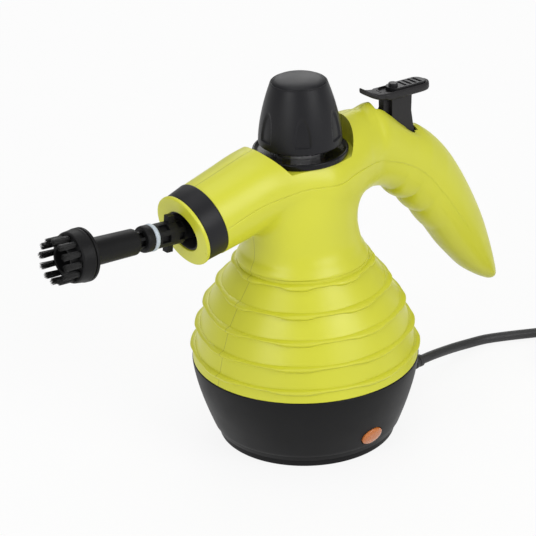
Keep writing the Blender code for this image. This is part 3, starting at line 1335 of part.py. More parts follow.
def make_lever():
    px, pz = LEVER_PIVOT
    eye = LEVER_PIVOT_RADIUS - GAP
    outline = [(px - eye * 0.6, pz + eye * 0.8), (px - eye * 0.6, pz - eye * 0.8),
               (px + eye * 0.6, LEVER_FOOT), (LEVER_TAIL_X - eye, LEVER_FOOT),
               (LEVER_TAIL_X, LEVER_TAIL_Z),
               ((LEVER_TAIL_X + LEVER_REAR) / 2 - GAP, (LEVER_TAIL_Z + LEVER_BLADE_TOP) / 2),
               (LEVER_REAR, LEVER_BLADE_TOP - PAD_THICKNESS / 2), (LEVER_REAR, LEVER_BLADE_TOP + GAP),
               (LEVER_FRONT, LEVER_BLADE_TOP + GAP), (LEVER_FRONT, pz + 2 * eye)]
    half = LEVER_BLADE / 2
    lever = slab("trigger_lever", outline, -half, half, cap_black(), LEVER_PIVOT)
    rings = []
    tip = PAD_FRONT - TONGUE_LENGTH
    for share, narrow in ((0.0, 0.72), (0.12, 0.95), (0.45, 1.0), (0.8, 1.0)):
        rings.append(pad_ring(tip + TONGUE_LENGTH * share, TONGUE_HALF_WIDTH * narrow,
                              TONGUE_THICKNESS))
    span = PAD_REAR - PAD_FRONT
    for share, narrow, thick in ((0.0, 0.98, 0.7), (0.08, 1.0, 1.0), (0.5, 1.0, 1.0),
                                 (0.82, 0.96, 1.0), (0.93, 0.78, 1.0), (0.985, 0.5, 0.96),
                                 (1.0, 0.3, 0.9)):
        rings.append(pad_ring(PAD_FRONT + span * share, PAD_HALF_WIDTH * narrow,
                              PAD_THICKNESS * thick))
    join(lever, loft("pad_form", rings, cutter=True))
    cut(lever, rod("eye_bore", LEVER_PIN_RADIUS + GAP, -2 * half, 2 * half,
                   place=across(px, pz), cutter=True))
    frame = slider_frame()
    cut(lever, slider_form("slider_recess", SLIDER_TRAVEL + 2 * GAP, 2 * GAP, -SLIDER_RECESS - GAP,
                           OVERRUN, None, frame, True))
    rod("trigger_pin", LEVER_PIN_RADIUS, -LEVER_PIN_LENGTH / 2, LEVER_PIN_LENGTH / 2, steel(),
        across(px, pz))
    slider = slider_form("lock_slider", 0.0, 0.0, -SLIDER_RECESS,
                         SLIDER_THICKNESS - SLIDER_RECESS, gloss_black(), frame)
    step = SLIDER_LENGTH * 0.6 / SLIDER_GROOVES
    top = SLIDER_THICKNESS - SLIDER_RECESS
    for i in range(SLIDER_GROOVES):
        x = SLIDER_LENGTH * 0.36 + step * i
        cut(slider, box(f"slider_groove_{i}", (x, -SLIDER_HALF_WIDTH * 0.7, top - SLIDER_GROOVE_DEPTH),
                        (x + SLIDER_GROOVE_WIDTH, SLIDER_HALF_WIDTH * 0.7, top + OVERRUN),
                        place=frame, cutter=True))
    knob = [(0.0, top + SLIDER_KNOB_HEIGHT), (SLIDER_KNOB_RADIUS * 0.7, top + SLIDER_KNOB_HEIGHT),
            (SLIDER_KNOB_RADIUS, top + SLIDER_KNOB_HEIGHT * 0.6), (SLIDER_KNOB_RADIUS, 0.0),
            (0.0, 0.0)]
    place = frame @ Matrix.Translation((SLIDER_KNOB_RADIUS * 1.5, 0.0, 0.0))
    join(slider, lathe("slider_knob", knob, place=place, closed=False, cutter=True,
                       steps=SMALL_STEPS))


def slider_frame():
    """On the pad's top where the lock slider starts, local X along the pad to the rear."""
    start = PAD_REAR - SLIDER_LENGTH - PAD_THICKNESS * 0.55
    slope = math.atan2(PAD_DROP, PAD_REAR - PAD_FRONT)
    return (Matrix.Translation((start, 0.0, pad_height(start)))
            @ Matrix.Rotation(slope, 4, "Y"))


def slider_form(name, forward, grow, low, high, finish, place, cutter=False):
    """A plate with round ends, from z = low to z = high."""
    wide = SLIDER_HALF_WIDTH + grow
    front, rear = SLIDER_HALF_WIDTH - forward, SLIDER_LENGTH - SLIDER_HALF_WIDTH
    outline = []
    for centre, first in ((rear, -90.0), (front, 90.0)):
        for i in range(7):
            spot = polar(wide, first + 30.0 * i)
            outline.append((centre + spot.x, spot.y))
    return loft(name, [[(x, y, z) for x, y in outline] for z in (low, high)], finish, place, cutter)


def make_valve():
    place = Matrix.Translation((VALVE_X, 0.0, 0.0))
    bore = PLUNGER_RADIUS + GAP
    blind = VALVE_TOP - PLUNGER_DEPTH - PLUNGER_HEAD * 2
    valve = lathe("valve_body", [(0.0, blind), (bore, blind), (bore, VALVE_TOP),
                                 (VALVE_RADIUS * 0.8, VALVE_TOP),
                                 (VALVE_RADIUS, VALVE_TOP - VALVE_RADIUS * 0.2),
                                 (VALVE_RADIUS, VALVE_BOTTOM), (0.0, VALVE_BOTTOM)],
                  brass(), place, steps=16, closed=False)
    for name, height in (("inlet_port", VALVE_INLET_Z), ("outlet_port", VALVE_OUTLET_Z)):
        side = aim((VALVE_X, 0.0, height), (-1.0, 0.0, 0.0))
        cut(valve, rod(name, PLUNGER_RADIUS * 0.7, 0.0, 2 * VALVE_RADIUS, place=side, steps=8,
                       cutter=True), solver="MANIFOLD")
    head_top = LEVER_FOOT - GAP
    head_low = head_top - PLUNGER_HEAD
    rod_end = VALVE_TOP - PLUNGER_DEPTH
    lathe("valve_plunger", [(0.0, head_top), (PLUNGER_HEAD_RADIUS, head_top),
                            (PLUNGER_HEAD_RADIUS, head_low), (PLUNGER_RADIUS, head_low),
                            (PLUNGER_RADIUS, rod_end), (0.0, rod_end)], steel(), place,
          steps=12, closed=False)
    coil_spring("valve_spring", VALVE_SPRING_RADIUS, VALVE_SPRING_WIRE, VALVE_SPRING_TURNS,
                VALVE_TOP + GAP, head_low - GAP, (VALVE_X, 0.0))


def make_pipes():
    port = VALVE_X - VALVE_RADIUS - GAP
    rise = PIPE_BOSS_TOP + GAP
    inlet = [(port, 0.0, VALVE_INLET_Z), (port - 4 * PIPE_RADIUS, 0.0, VALVE_INLET_Z),
             (port - 9 * PIPE_RADIUS, 0.0, VALVE_INLET_Z),
             (PIPE_BOSS_X + 4 * PIPE_RADIUS, 0.0, VALVE_INLET_Z - PIPE_RADIUS),
             (PIPE_BOSS_X + PIPE_RADIUS, 0.0, VALVE_INLET_Z - 5 * PIPE_RADIUS),
             (PIPE_BOSS_X, 0.0, (rise + VALVE_INLET_Z) / 2), (PIPE_BOSS_X, 0.0, rise)]
    tube("steam_inlet_pipe", smooth_curve(inlet, 2), PIPE_RADIUS, brass(), 1)
    end = nozzle_frame() @ Vector((0.0, 0.0, -SPIGOT_ROOT_LENGTH - GAP))
    before = nozzle_frame() @ Vector((0.0, 0.0, -SPIGOT_ROOT_LENGTH - 3 * PIPE_RADIUS))
    side = NECK_BORE + NECK_WALL + 3.2 * PIPE_RADIUS
    level = VALVE_OUTLET_Z + 2 * PIPE_RADIUS
    outlet = [(port, 0.0, VALVE_OUTLET_Z), (port - 4 * PIPE_RADIUS, 0.0, VALVE_OUTLET_Z),
              (port - 9 * PIPE_RADIUS, side * 0.25, VALVE_OUTLET_Z + PIPE_RADIUS),
              (side * 1.05, side * 0.75, level), (0.0, side, level), (-side, side * 0.75, level),
              (-2 * side, side * 0.15, (before.z + level) / 2), tuple(before), tuple(end)]
    tube("steam_outlet_pipe", smooth_curve(outlet, 2), PIPE_RADIUS, brass(), 1)


# Cord, coil and plug
def coil_path():
    """Centre line of the two-layer coil, clockwise, with one straight diameter at each end."""
    total = 2 * COIL_LAYER_TURNS + 0.5
    outer = COIL_MIDDLE_RADIUS + COIL_STEP * total / 4
    low = COIL_LIFT + CORD_RADIUS
    count = round(total * COIL_LOOP_POINTS)
    centre = Vector((*COIL_CENTRE, 0.0))
    points = []
    for i in range(count + 1):
        turns = total * i / count
        radius = outer - COIL_STEP * min(turns, total - turns)
        share = min(max((turns - COIL_LAYER_TURNS) / 0.5, 0.0), 1.0)
        climb = COIL_STEP * share * share * (3 - 2 * share)
        points.append(centre + polar(radius, COIL_ENTRY_DEG - 360.0 * turns, low + climb))
    heading = polar(1.0, COIL_ENTRY_DEG - 90.0)
    lead = 2 * CORD_RADIUS
    return [points[0] - heading * lead, *points, points[-1] + heading * lead]


def least_gap(points):
    """Smallest clear distance between turns of the coil, measured on its points."""
    near = COIL_LOOP_POINTS // 2
    least = min((a - b).length for i, a in enumerate(points) for b in points[i + near:])
    return least - 2 * CORD_RADIUS


def make_cord():
    coil = coil_path()
    print("coil least gap to itself, mm:", round(least_gap(coil) * 1000, 3))
    tube("cord_coil", coil, CORD_RADIUS, cord_black(), 1)
    start = Vector((relief_start() + RELIEF_LENGTH + GAP, 0.0, CORD_EXIT_Z))
    heading = polar(1.0, COIL_ENTRY_DEG - 90.0)
    end = coil[0] - heading * GAP
    lead = 2 * CORD_RADIUS
    route = [start, start + Vector((lead, 0.0, 0.0)), *map(Vector, CORD_ROUTE),
             end - heading * lead, end]
    tube("power_cord", smooth_curve(route, 1), CORD_RADIUS, cord_black())

    tail_start = coil[-1] + heading * GAP
    centre = Vector((*COIL_CENTRE, 0.0))
    outer = (tail_start - centre).to_2d().length
    plug_radius = outer + PLUG_FACE_RADIUS + CORD_RADIUS
    plug_height = PLUG_FACE_RADIUS + PLUG_LIFT
    first = math.degrees(math.atan2(tail_start.y - centre.y, tail_start.x - centre.x))
    tail = [tail_start, tail_start + heading * lead]
    for i in range(1, 6):
        share = i / 5
        ease = share * share * (3 - 2 * share)
        spot = polar(outer + (plug_radius - outer) * ease, first - 8.0 - TAIL_SWEEP_DEG * share)
        tail.append(centre + spot + Vector((0.0, 0.0, tail_start.z
                                            + (plug_height - tail_start.z) * ease)))
    last = first - 8.0 - TAIL_SWEEP_DEG
    plug_heading = polar(1.0, last - 90.0)
    tail.append(tail[-1] + plug_heading * lead)
    tube("cord_tail", [tail[0], *smooth_curve(tail[1:-1], 2), tail[-1]], CORD_RADIUS, cord_black())

    frame = aim(tail[-1] + plug_heading * GAP, plug_heading)
    length = PLUG_LENGTH
    lathe("plug_body", [(0.0, length), (PLUG_FACE_RADIUS * 0.96, length),
                        (PLUG_FACE_RADIUS, length * 0.97), (PLUG_FACE_RADIUS, length * 0.72),
                        (PLUG_FACE_RADIUS * 0.92, length * 0.66), (PLUG_WAIST_RADIUS, length * 0.5),
                        (PLUG_WAIST_RADIUS * 0.8, length * 0.3), (PLUG_CORD_RADIUS, 0.0),
                        (0.0, 0.0)], cord_black(), frame, closed=False)
    for i, side in enumerate((-1, 1), 1):
        place = frame @ Matrix.Translation((0.0, side * PIN_SPACING / 2, 0.0))
        rod(f"plug_pin_{i}", PIN_RADIUS, length + GAP, length + GAP + PIN_LENGTH, steel(), place,
            steps=10)
    make_tie()


def make_tie():
    """A flat band that goes once round the coil's bundle."""
    half_span = COIL_STEP * (COIL_LAYER_TURNS + 0.5) / 2 + CORD_RADIUS + TIE_CLEARANCE
    top = COIL_LIFT + 2 * CORD_RADIUS + COIL_STEP + TIE_CLEARANCE
    bottom = COIL_LIFT - TIE_CLEARANCE
    place = (Matrix.Translation((*COIL_CENTRE, 0.0))
             @ Matrix.Rotation(math.radians(TIE_ANGLE_DEG), 4, "Z"))
    middle = COIL_MIDDLE_RADIUS
    band = box("cord_tie", (middle - half_span - TIE_THICKNESS, -TIE_WIDTH / 2,
                            bottom - TIE_THICKNESS),
               (middle + half_span + TIE_THICKNESS, TIE_WIDTH / 2, top + TIE_THICKNESS),
               cord_black(), place)
    cut(band, box("tie_inside", (middle - half_span, -TIE_WIDTH, bottom),
                  (middle + half_span, TIE_WIDTH, top), place=place, cutter=True),
        solver="MANIFOLD")


clear_scene()
PARTS = new_collection("steam_cleaner")
CUTTERS = new_collection("cutters")
make_base()
make_lamp()
make_wiring()
make_boiler()
make_heater()
make_housing()
make_housing_screws()
make_collar()
make_cap()
make_spout_end()
make_spigot()
make_brush()
make_lever()
make_valve()
make_pipes()
make_cord()
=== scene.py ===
"""Looks of the handheld steam cleaner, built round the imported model.

Shapes are written in millimetres in the row frame and turned into metres when a piece is
finished. Spout to -X, handle to +X, indicator lens on -Y, +Z up.
"""
import json
import math
import random

import bmesh
import bpy
import numpy as np
from mathutils import Matrix, Vector
from mathutils.bvhtree import BVHTree


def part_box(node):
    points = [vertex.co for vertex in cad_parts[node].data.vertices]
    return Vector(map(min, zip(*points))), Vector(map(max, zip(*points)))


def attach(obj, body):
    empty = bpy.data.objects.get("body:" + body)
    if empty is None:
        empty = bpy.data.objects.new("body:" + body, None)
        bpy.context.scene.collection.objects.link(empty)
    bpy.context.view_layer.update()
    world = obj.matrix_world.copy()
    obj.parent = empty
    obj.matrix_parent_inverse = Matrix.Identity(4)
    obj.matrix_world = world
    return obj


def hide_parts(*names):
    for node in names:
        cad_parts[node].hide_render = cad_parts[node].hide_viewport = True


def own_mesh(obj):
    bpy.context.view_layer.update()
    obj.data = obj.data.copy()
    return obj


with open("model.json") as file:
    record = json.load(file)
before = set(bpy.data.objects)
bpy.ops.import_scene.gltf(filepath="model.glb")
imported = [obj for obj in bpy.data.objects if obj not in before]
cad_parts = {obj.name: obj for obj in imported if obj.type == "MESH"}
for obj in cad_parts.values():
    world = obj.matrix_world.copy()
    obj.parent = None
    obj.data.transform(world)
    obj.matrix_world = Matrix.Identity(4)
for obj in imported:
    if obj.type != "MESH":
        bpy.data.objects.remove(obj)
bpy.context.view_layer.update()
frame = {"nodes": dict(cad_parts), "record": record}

MM = 0.001
GAP = 0.3
WALL = 2.4


# Building helpers, all in millimetres
def add_object(name, data):
    obj = bpy.data.objects.new(name, data)
    bpy.context.scene.collection.objects.link(obj)
    return obj


def mesh_object(name, verts, faces, place=None):
    if place is not None:
        verts = [place @ Vector(v) for v in verts]
    mesh = bpy.data.meshes.new(name)
    mesh.from_pydata([tuple(v) for v in verts], [], [tuple(f) for f in faces])
    made = bmesh.new()
    made.from_mesh(mesh)
    bmesh.ops.recalc_face_normals(made, faces=made.faces)
    made.to_mesh(mesh)
    made.free()
    return add_object(name, mesh)


def skin(rows, closed=False):
    """Faces between rows of point numbers; a row may be one point, repeated."""
    faces = []
    for low, high in zip(rows, rows[1:] + rows[:1] if closed else rows[1:]):
        for i in range(len(low)):
            j = (i + 1) % len(low)
            face = tuple(dict.fromkeys((low[i], low[j], high[j], high[i])))
            if len(face) > 2:
                faces.append(face)
    return faces


def loft(name, rings, place=None, closed=False):
    """Skin equal rings of points; cap both ends, or join the last ring to the first."""
    count = len(rings[0])
    rows = [range(r * count, (r + 1) * count) for r in range(len(rings))]
    faces = skin(rows, closed)
    if not closed:
        faces += [rows[0], rows[-1]]
    return mesh_object(name, [p for ring in rings for p in ring], faces, place)


def bent(start, corner, end, t):
    """Point of a curve that leaves start towards corner and ends at end."""
    return start * (1 - t) ** 2 + corner * 2 * t * (1 - t) + end * t * t


def soften(profile, bends):
    """Round the corners of a profile of (radius, height, rounding) points."""
    rows = [(*p, 0.0)[:3] for p in profile]
    made = []
    for i, (r, z, size) in enumerate(rows):
        if size <= 0:
            made.append((r, z))
            continue
        here = Vector((r, z))
        sides = [Vector(rows[j][:2]) - here for j in (i - 1, (i + 1) % len(rows))]
        reach = min(size, *(0.48 * side.length for side in sides))
        start, end = (here + side.normalized() * reach for side in sides)
        made += [tuple(bent(start, here, end, k / bends)) for k in range(bends + 1)]
    return made


def lathe(name, profile, place=None, steps=96, bends=4):
    """Turn (radius, height, rounding) points round local Z.

    A profile that starts on the axis also ends there; any other is a closed loop.
    """
    verts, rows = [], []
    for r, z in soften(profile, bends):
        count = 1 if r < 1e-6 else steps
        first = len(verts)
        verts += circle(r, z, count)
        rows.append([first] * steps if count == 1 else range(first, first + steps))
    return mesh_object(name, verts, skin(rows, profile[0][0] > 0), place)


def rod(name, radius, low, high, place=None, steps=64):
    return lathe(name, [(0.0, high), (radius, high), (radius, low), (0.0, low)], place, steps)


def block(name, low, high, place=None):
    (x0, y0, z0), (x1, y1, z1) = low, high
    return loft(name, [[(x0, y0, z), (x1, y0, z), (x1, y1, z), (x0, y1, z)] for z in (z0, z1)], place)


def slab(name, outline, low, high):
    """A flat (x, z) outline, thick from y = low to y = high."""
    return loft(name, [[(x, y, z) for x, z in outline] for y in (low, high)])


def combine(target, others, operation):
    for other in others:
        step = target.modifiers.new(other.name, "BOOLEAN")
        step.operation = operation
        step.solver = "MANIFOLD"
        step.object = other
    bpy.context.view_layer.update()
    graph = bpy.context.evaluated_depsgraph_get()
    mesh = bpy.data.meshes.new_from_object(target.evaluated_get(graph))
    target.modifiers.clear()
    target.data = mesh
    for other in others:
        bpy.data.objects.remove(other, do_unlink=True)
    return target


def cut(target, *others):
    return combine(target, others, "DIFFERENCE")


def join(target, *others):
    return combine(target, others, "UNION")


def polar(radius, degrees, z=0.0):
    """A point at a radius and an angle round local Z."""
    angle = math.radians(degrees)
    return Vector((radius * math.cos(angle), radius * math.sin(angle), z))


def circle(radius, z, count):
    return [polar(radius, 360.0 * i / count, z) for i in range(count)]


def rounded_loop(half_width, half_height, corner, bends):
    """A rectangle with round corners, as (across, up) points from its middle."""
    spots = []
    for side, up, first in ((1, 1, 0.0), (-1, 1, 90.0), (-1, -1, 180.0), (1, -1, 270.0)):
        for k in range(bends + 1):
            turn = polar(corner, first + 90.0 * k / bends)
            spots.append((side * (half_width - corner) + turn.x, up * (half_height - corner) + turn.y))
    return spots


def aim(origin, direction):
    """A frame whose local Z points along direction and whose local Y stays level."""
    z_axis = Vector(direction).normalized()
    y_axis = Vector((0.0, 0.0, 1.0)).cross(z_axis).normalized()
    x_axis = y_axis.cross(z_axis).normalized()
    return Matrix.Translation(origin) @ Matrix((x_axis, y_axis, z_axis)).transposed().to_4x4()


def across(x, z):
    """A frame at a place of the symmetry plane whose local Z points to +Y."""
    return Matrix.Translation((x, 0.0, z)) @ Matrix.Rotation(math.radians(-90.0), 4, "X")


def backward(x, z):
    """A frame at a place of the symmetry plane whose local Z points to +X."""
    return aim((x, 0.0, z), (1.0, 0.0, 0.0))


def spin(degrees):
    """A turn about local Z."""
    return Matrix.Rotation(math.radians(degrees), 4, "Z")


def aside(radius, degrees):
    """A move across local Z."""
    return Matrix.Translation(polar(radius, degrees))


def catmull(rows, per):
    rows = np.asarray(rows, float)
    padded = np.vstack([rows[:1], rows, rows[-1:]])
    made = []
    for a, b, c, d in zip(padded, padded[1:], padded[2:], padded[3:]):
        for k in range(per):
            t = k / per
            made.append(0.5 * (2 * b + (c - a) * t + (2 * a - 5 * b + 4 * c - d) * t * t
                               + (3 * b - 3 * c + d - a) * t ** 3))
    made.append(rows[-1])
    return np.array(made)


def smooth_step(t):
    t = min(max(t, 0.0), 1.0)
    return t * t * (3 - 2 * t)


def piece(obj, finish, body, slot, *nodes, angle=35.0, bevel=0.0):
    """Turn a shape into metres, give it its finish and hang it on its body."""
    obj.data.transform(Matrix.Scale(MM, 4))
    obj.data.materials.clear()
    obj.data.materials.append(finish)
    obj.data.shade_smooth()
    obj.data.set_sharp_from_angle(angle=math.radians(angle))
    if bevel:
        edge = obj.modifiers.new("soft_edges", "BEVEL")
        edge.width = bevel * MM
        edge.segments = 3
        edge.limit_method = "ANGLE"
        edge.angle_limit = math.radians(angle)
        edge.harden_normals = True
    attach(obj, body)
    if nodes:
        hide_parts(*nodes)
    return obj


# Finishes
def fill(tree, node, sockets):
    """Give each named socket of a node a value or the output of another node."""
    for name, value in sockets.items():
        if isinstance(value, bpy.types.NodeSocket):
            tree.links.new(value, node.inputs[name])
        else:
            node.inputs[name].default_value = value


def add_node(tree, kind, sockets, **fields):
    """Add a node and return its outputs."""
    made = tree.nodes.new("ShaderNode" + kind)
    for field, value in fields.items():
        setattr(made, field, value)
    fill(tree, made, sockets)
    return made.outputs


def new_finish(name):
    made = bpy.data.materials.new(name)
    made.use_nodes = True
    return made, made.node_tree, add_node(made.node_tree, "TexCoord", {})["Object"]


def dress(tree, sockets):
    fill(tree, tree.nodes["Principled BSDF"], sockets)


def noise(tree, place, scale, detail=3.0, stretch=None):
    if stretch:
        place = add_node(tree, "Mapping", {"Scale": stretch, "Vector": place})["Vector"]
    return add_node(tree, "TexNoise", {"Scale": scale, "Detail": detail, "Vector": place})["Fac"]


def spread(tree, value, low, high, first=0.3, last=0.7):
    """Stretch the values from first to last over low to high."""
    return add_node(tree, "MapRange", {"From Min": first, "From Max": last, "To Min": low,
                                       "To Max": high, "Value": value})["Result"]


def tint(tree, value, first, second):
    """From the first colour to the second, which may be another node's output."""
    if not isinstance(second, bpy.types.NodeSocket):
        second = (*second, 1.0)
    return add_node(tree, "Mix", {"A": (*first, 1.0), "B": second, "Factor": value},
                    data_type="RGBA")["Result"]


def relief(tree, height, distance, strength, normal=None):
    sockets = {"Distance": distance, "Strength": strength, "Height": height}
    if normal is not None:
        sockets["Normal"] = normal
    return add_node(tree, "Bump", sockets)["Normal"]


def math_node(tree, operation, *values):
    return add_node(tree, "Math", dict(enumerate(values)), operation=operation)["Value"]


def mixed(tree, share, first, second):
    """Two shaders mixed by share."""
    return add_node(tree, "MixShader", {"Fac": share, 1: first, 2: second})["Shader"]


def seam_line(tree, place):
    """0 on the symmetry plane, where the two halves meet, and 1 beside it."""
    beside = math_node(tree, "ABSOLUTE", add_node(tree, "SeparateXYZ", {"Vector": place})["Y"])
    return spread(tree, beside, 0.0, 1.0, 0.06 * MM, 0.28 * MM)


GLOSS_DRIFT = 0.035
SEAM_SHADE = 0.55


def plastic(name, colour, roughness, grain_scale, grain, shift, metallic=0.0, coat=0.0,
            rounding=0.0, stretch=None, specular=0.5, seam=False):
    """Moulded surface: slow drift of colour and gloss, fine grain, softened edges."""
    made, tree, place = new_finish(name)
    spots = spread(tree, noise(tree, place, 22.0, 2.0), 0.0, 1.0)
    darker = tuple(c * (1 - shift) for c in colour)
    lighter = tuple(min(c * (1 + shift), 1.0) for c in colour)
    colours = tint(tree, spots, darker, lighter)
    fine = noise(tree, place, grain_scale, 2.0, stretch)
    rough = spread(tree, noise(tree, place, 60.0, 4.0), roughness - GLOSS_DRIFT,
                   roughness + GLOSS_DRIFT)
    normal = None
    if rounding:
        normal = add_node(tree, "Bevel", {"Radius": rounding * MM}, samples=4)["Normal"]
    normal = relief(tree, fine, 0.04 * MM, grain, normal)
    if seam:
        line = seam_line(tree, place)
        normal = relief(tree, line, 0.12 * MM, 0.6, normal)
        colours = tint(tree, line, [c * SEAM_SHADE for c in colour], colours)
    dress(tree, {"Base Color": colours, "Roughness": rough, "Normal": normal,
                 "Metallic": metallic, "Coat Weight": coat, "Coat Roughness": 0.12,
                 "Specular IOR Level": specular})
    return made


LIME_COLOUR = (0.615, 0.620, 0.036)
LIME = plastic("lime_plastic", LIME_COLOUR, 0.37, 1800.0, 0.10, 0.02, rounding=0.45, seam=True)
PLAIN_LIME = plastic("lime_ring_plastic", LIME_COLOUR, 0.37, 1800.0, 0.10, 0.02)
BASE_BLACK = plastic("base_plastic", (0.0065, 0.0065, 0.007), 0.48, 1500.0, 0.55, 0.08,
                     specular=0.17)
CAP_BLACK = plastic("cap_plastic", (0.0105, 0.0105, 0.0125), 0.42, 1700.0, 0.35, 0.06,
                    rounding=1.1, specular=0.22)
LEVER_BLACK = plastic("lever_plastic", (0.018, 0.017, 0.018), 0.48, 1700.0, 0.35, 0.06,
                      specular=0.26)
GLOSS_BLACK = plastic("gloss_plastic", (0.005, 0.005, 0.006), 0.26, 900.0, 0.05, 0.05,
                      specular=0.20)
SLIDER_BLACK = plastic("slider_plastic", (0.009, 0.009, 0.010), 0.38, 1500.0, 0.2, 0.05,
                       specular=0.26)
CORD_BLACK = plastic("cord_rubber", (0.024, 0.024, 0.025), 0.50, 1200.0, 0.5, 0.10)
BRISTLE = plastic("bristle_fibre", (0.012, 0.012, 0.012), 0.35, 2500.0, 0.2, 0.25)
PALE_SEAL = plastic("pale_silicone", (0.46, 0.52, 0.57), 0.42, 900.0, 0.25, 0.04)
RED_SEAL = plastic("silicone_seal", (0.42, 0.08, 0.05), 0.55, 900.0, 0.3, 0.06)
CERAMIC = plastic("ceramic", (0.72, 0.72, 0.69), 0.42, 700.0, 0.3, 0.03, coat=0.15)
CAST_ALUMINIUM = plastic("cast_aluminium", (0.60, 0.60, 0.61), 0.42, 420.0, 0.6, 0.06, 1.0)
STEEL = plastic("steel", (0.56, 0.56, 0.57), 0.26, 600.0, 0.25, 0.05, 1.0,
                stretch=(1.0, 1.0, 12.0))
BRASS = plastic("brass", (0.66, 0.49, 0.20), 0.28, 600.0, 0.25, 0.08, 1.0)


def orange_lens():
    """Clear orange plastic with a fine pattern of facets."""
    made, tree, place = new_finish("orange_lens")
    facets = add_node(tree, "TexVoronoi", {"Scale": 620.0, "Randomness": 0.25, "Vector": place})
    dress(tree, {
        "Base Color": tint(tree, noise(tree, place, 160.0, 2.0), (0.52, 0.135, 0.018),
                           (0.70, 0.21, 0.032)),
        "Roughness": spread(tree, noise(tree, place, 400.0), 0.16, 0.26),
        "Normal": relief(tree, facets["Distance"], 0.4 * MM, 0.7),
        "Transmission Weight": 0.12, "Coat Weight": 0.3})
    return made


def lamp_glass():
    made, tree, place = new_finish("lamp_glass")
    dress(tree, {
        "Base Color": tint(tree, noise(tree, place, 90.0), (0.85, 0.45, 0.25),
                           (0.92, 0.60, 0.38)),
        "Roughness": spread(tree, noise(tree, place, 300.0), 0.04, 0.10),
        "Normal": relief(tree, noise(tree, place, 500.0), 0.03 * MM, 0.2),
        "Transmission Weight": 0.9})
    return made


# Camera at the photograph's place
def make_camera():
    data = bpy.data.cameras.new("camera")
    data.sensor_width = 36.0
    data.lens = 191.2
    data.clip_start = 0.05
    data.clip_end = 50.0
    camera = add_object("camera", data)
    azimuth, pitch, roll = -39.214, 25.59, 1.75
    camera.matrix_world = (Matrix.Translation((-1.0028, -1.1950, 0.8553)) @ spin(azimuth)
                           @ Matrix.Rotation(math.radians(90.0 - pitch), 4, "X") @ spin(-roll))
    bpy.context.scene.camera = camera


# Cord: free stretch, coil and tail as one curve
CORD_RADIUS = 3.1
CORD_EXIT_Z = 10.3
CORD_ROUTE = ((112.0, 0.8, 9.5), (128.0, 3.2, 6.8), (143.0, 4.6, 4.2), (157.0, 3.0, 3.15),
              (172.0, -4.2, 3.15), (188.0, -13.2, 3.15), (203.0, -21.8, 3.3),
              (216.0, -29.8, 3.8))
COIL_CENTRE = Vector((207.0, -83.0, 0.0))
COIL_MIDDLE_RADIUS = 37.4
COIL_STEP = 6.9
COIL_LAYER_TURNS, COIL_CLIMB_TURNS = 3.75, 0.5
COIL_ENTRY_DEG = 57.0
COIL_LOOP_POINTS = 24
COIL_LIFT = 1.1
TIE_DEG = 205.0
TAIL_LAG_DEG = 8.0
TAIL_SWEEP_DEG = 60.0
PLUG_FACE_RADIUS = 18.0
PLUG_LIFT = 0.2
RELIEF_LENGTH = 38.0


def coil_path():
    """Two flat layers of turns, the upper one wound back out, and the heading of both ends."""
    total = 2 * COIL_LAYER_TURNS + COIL_CLIMB_TURNS
    outer = COIL_MIDDLE_RADIUS + COIL_STEP * total / 4
    count = round(total * COIL_LOOP_POINTS)
    points = []
    for i in range(count + 1):
        turns = total * i / count
        radius = outer - COIL_STEP * min(turns, total - turns)
        climb = COIL_STEP * smooth_step((turns - COIL_LAYER_TURNS) / COIL_CLIMB_TURNS)
        points.append(COIL_CENTRE + polar(radius, COIL_ENTRY_DEG - 360.0 * turns,
                                          COIL_LIFT + CORD_RADIUS + climb))
    heading = polar(1.0, COIL_ENTRY_DEG - 90.0)
    lead = heading * 2 * CORD_RADIUS
    return [points[0] - lead, *points, points[-1] + lead], heading


def cord_points():
    """Points of the cord from the sleeve to the plug, and the plug's frame."""
    coil, heading = coil_path()
    start = Vector((base_radius(CORD_EXIT_Z) + RELIEF_LENGTH + GAP, 0.0, CORD_EXIT_Z))
    lead = 2 * CORD_RADIUS
    route = [start, start + Vector((lead, 0.0, 0.0)), *map(Vector, CORD_ROUTE)]
    tail_start = coil[-1] + heading * GAP
    side = tail_start - COIL_CENTRE
    outer = side.to_2d().length
    first = math.degrees(math.atan2(side.y, side.x)) - TAIL_LAG_DEG
    tail = [tail_start + heading * lead]
    for share in (0.2, 0.4, 0.6, 0.8, 1.0):
        ease = smooth_step(share)
        radius = outer + (PLUG_FACE_RADIUS + CORD_RADIUS) * ease
        height = tail_start.z + (PLUG_FACE_RADIUS + PLUG_LIFT - tail_start.z) * ease
        tail.append(COIL_CENTRE + polar(radius, first - TAIL_SWEEP_DEG * share, height))
    plug_heading = polar(1.0, first - TAIL_SWEEP_DEG - 90.0)
    tail.append(tail[-1] + plug_heading * lead)
    points = catmull([tuple(p) for p in (*route, *coil, *tail)], 3)
    return points, aim(tail[-1] + plug_heading * GAP, plug_heading)


def make_cord():
    points, plug_frame = cord_points()
    curve = bpy.data.curves.new("mains_cord", "CURVE")
    curve.dimensions = "3D"
    curve.bevel_depth = CORD_RADIUS * MM
    curve.bevel_resolution = 6
    curve.use_fill_caps = True
    spline = curve.splines.new("POLY")
    spline.points.add(len(points) - 1)
    for target, point in zip(spline.points, points):
        target.co = (*(point * MM), 1.0)
    spline.use_smooth = True
    curve.materials.append(CORD_BLACK)
    cord = add_object("mains_cord", curve)
    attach(cord, "body")
    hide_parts("power_cord", "cord_coil", "cord_tail")

    plug = make_plug(plug_frame)
    tie = make_tie()


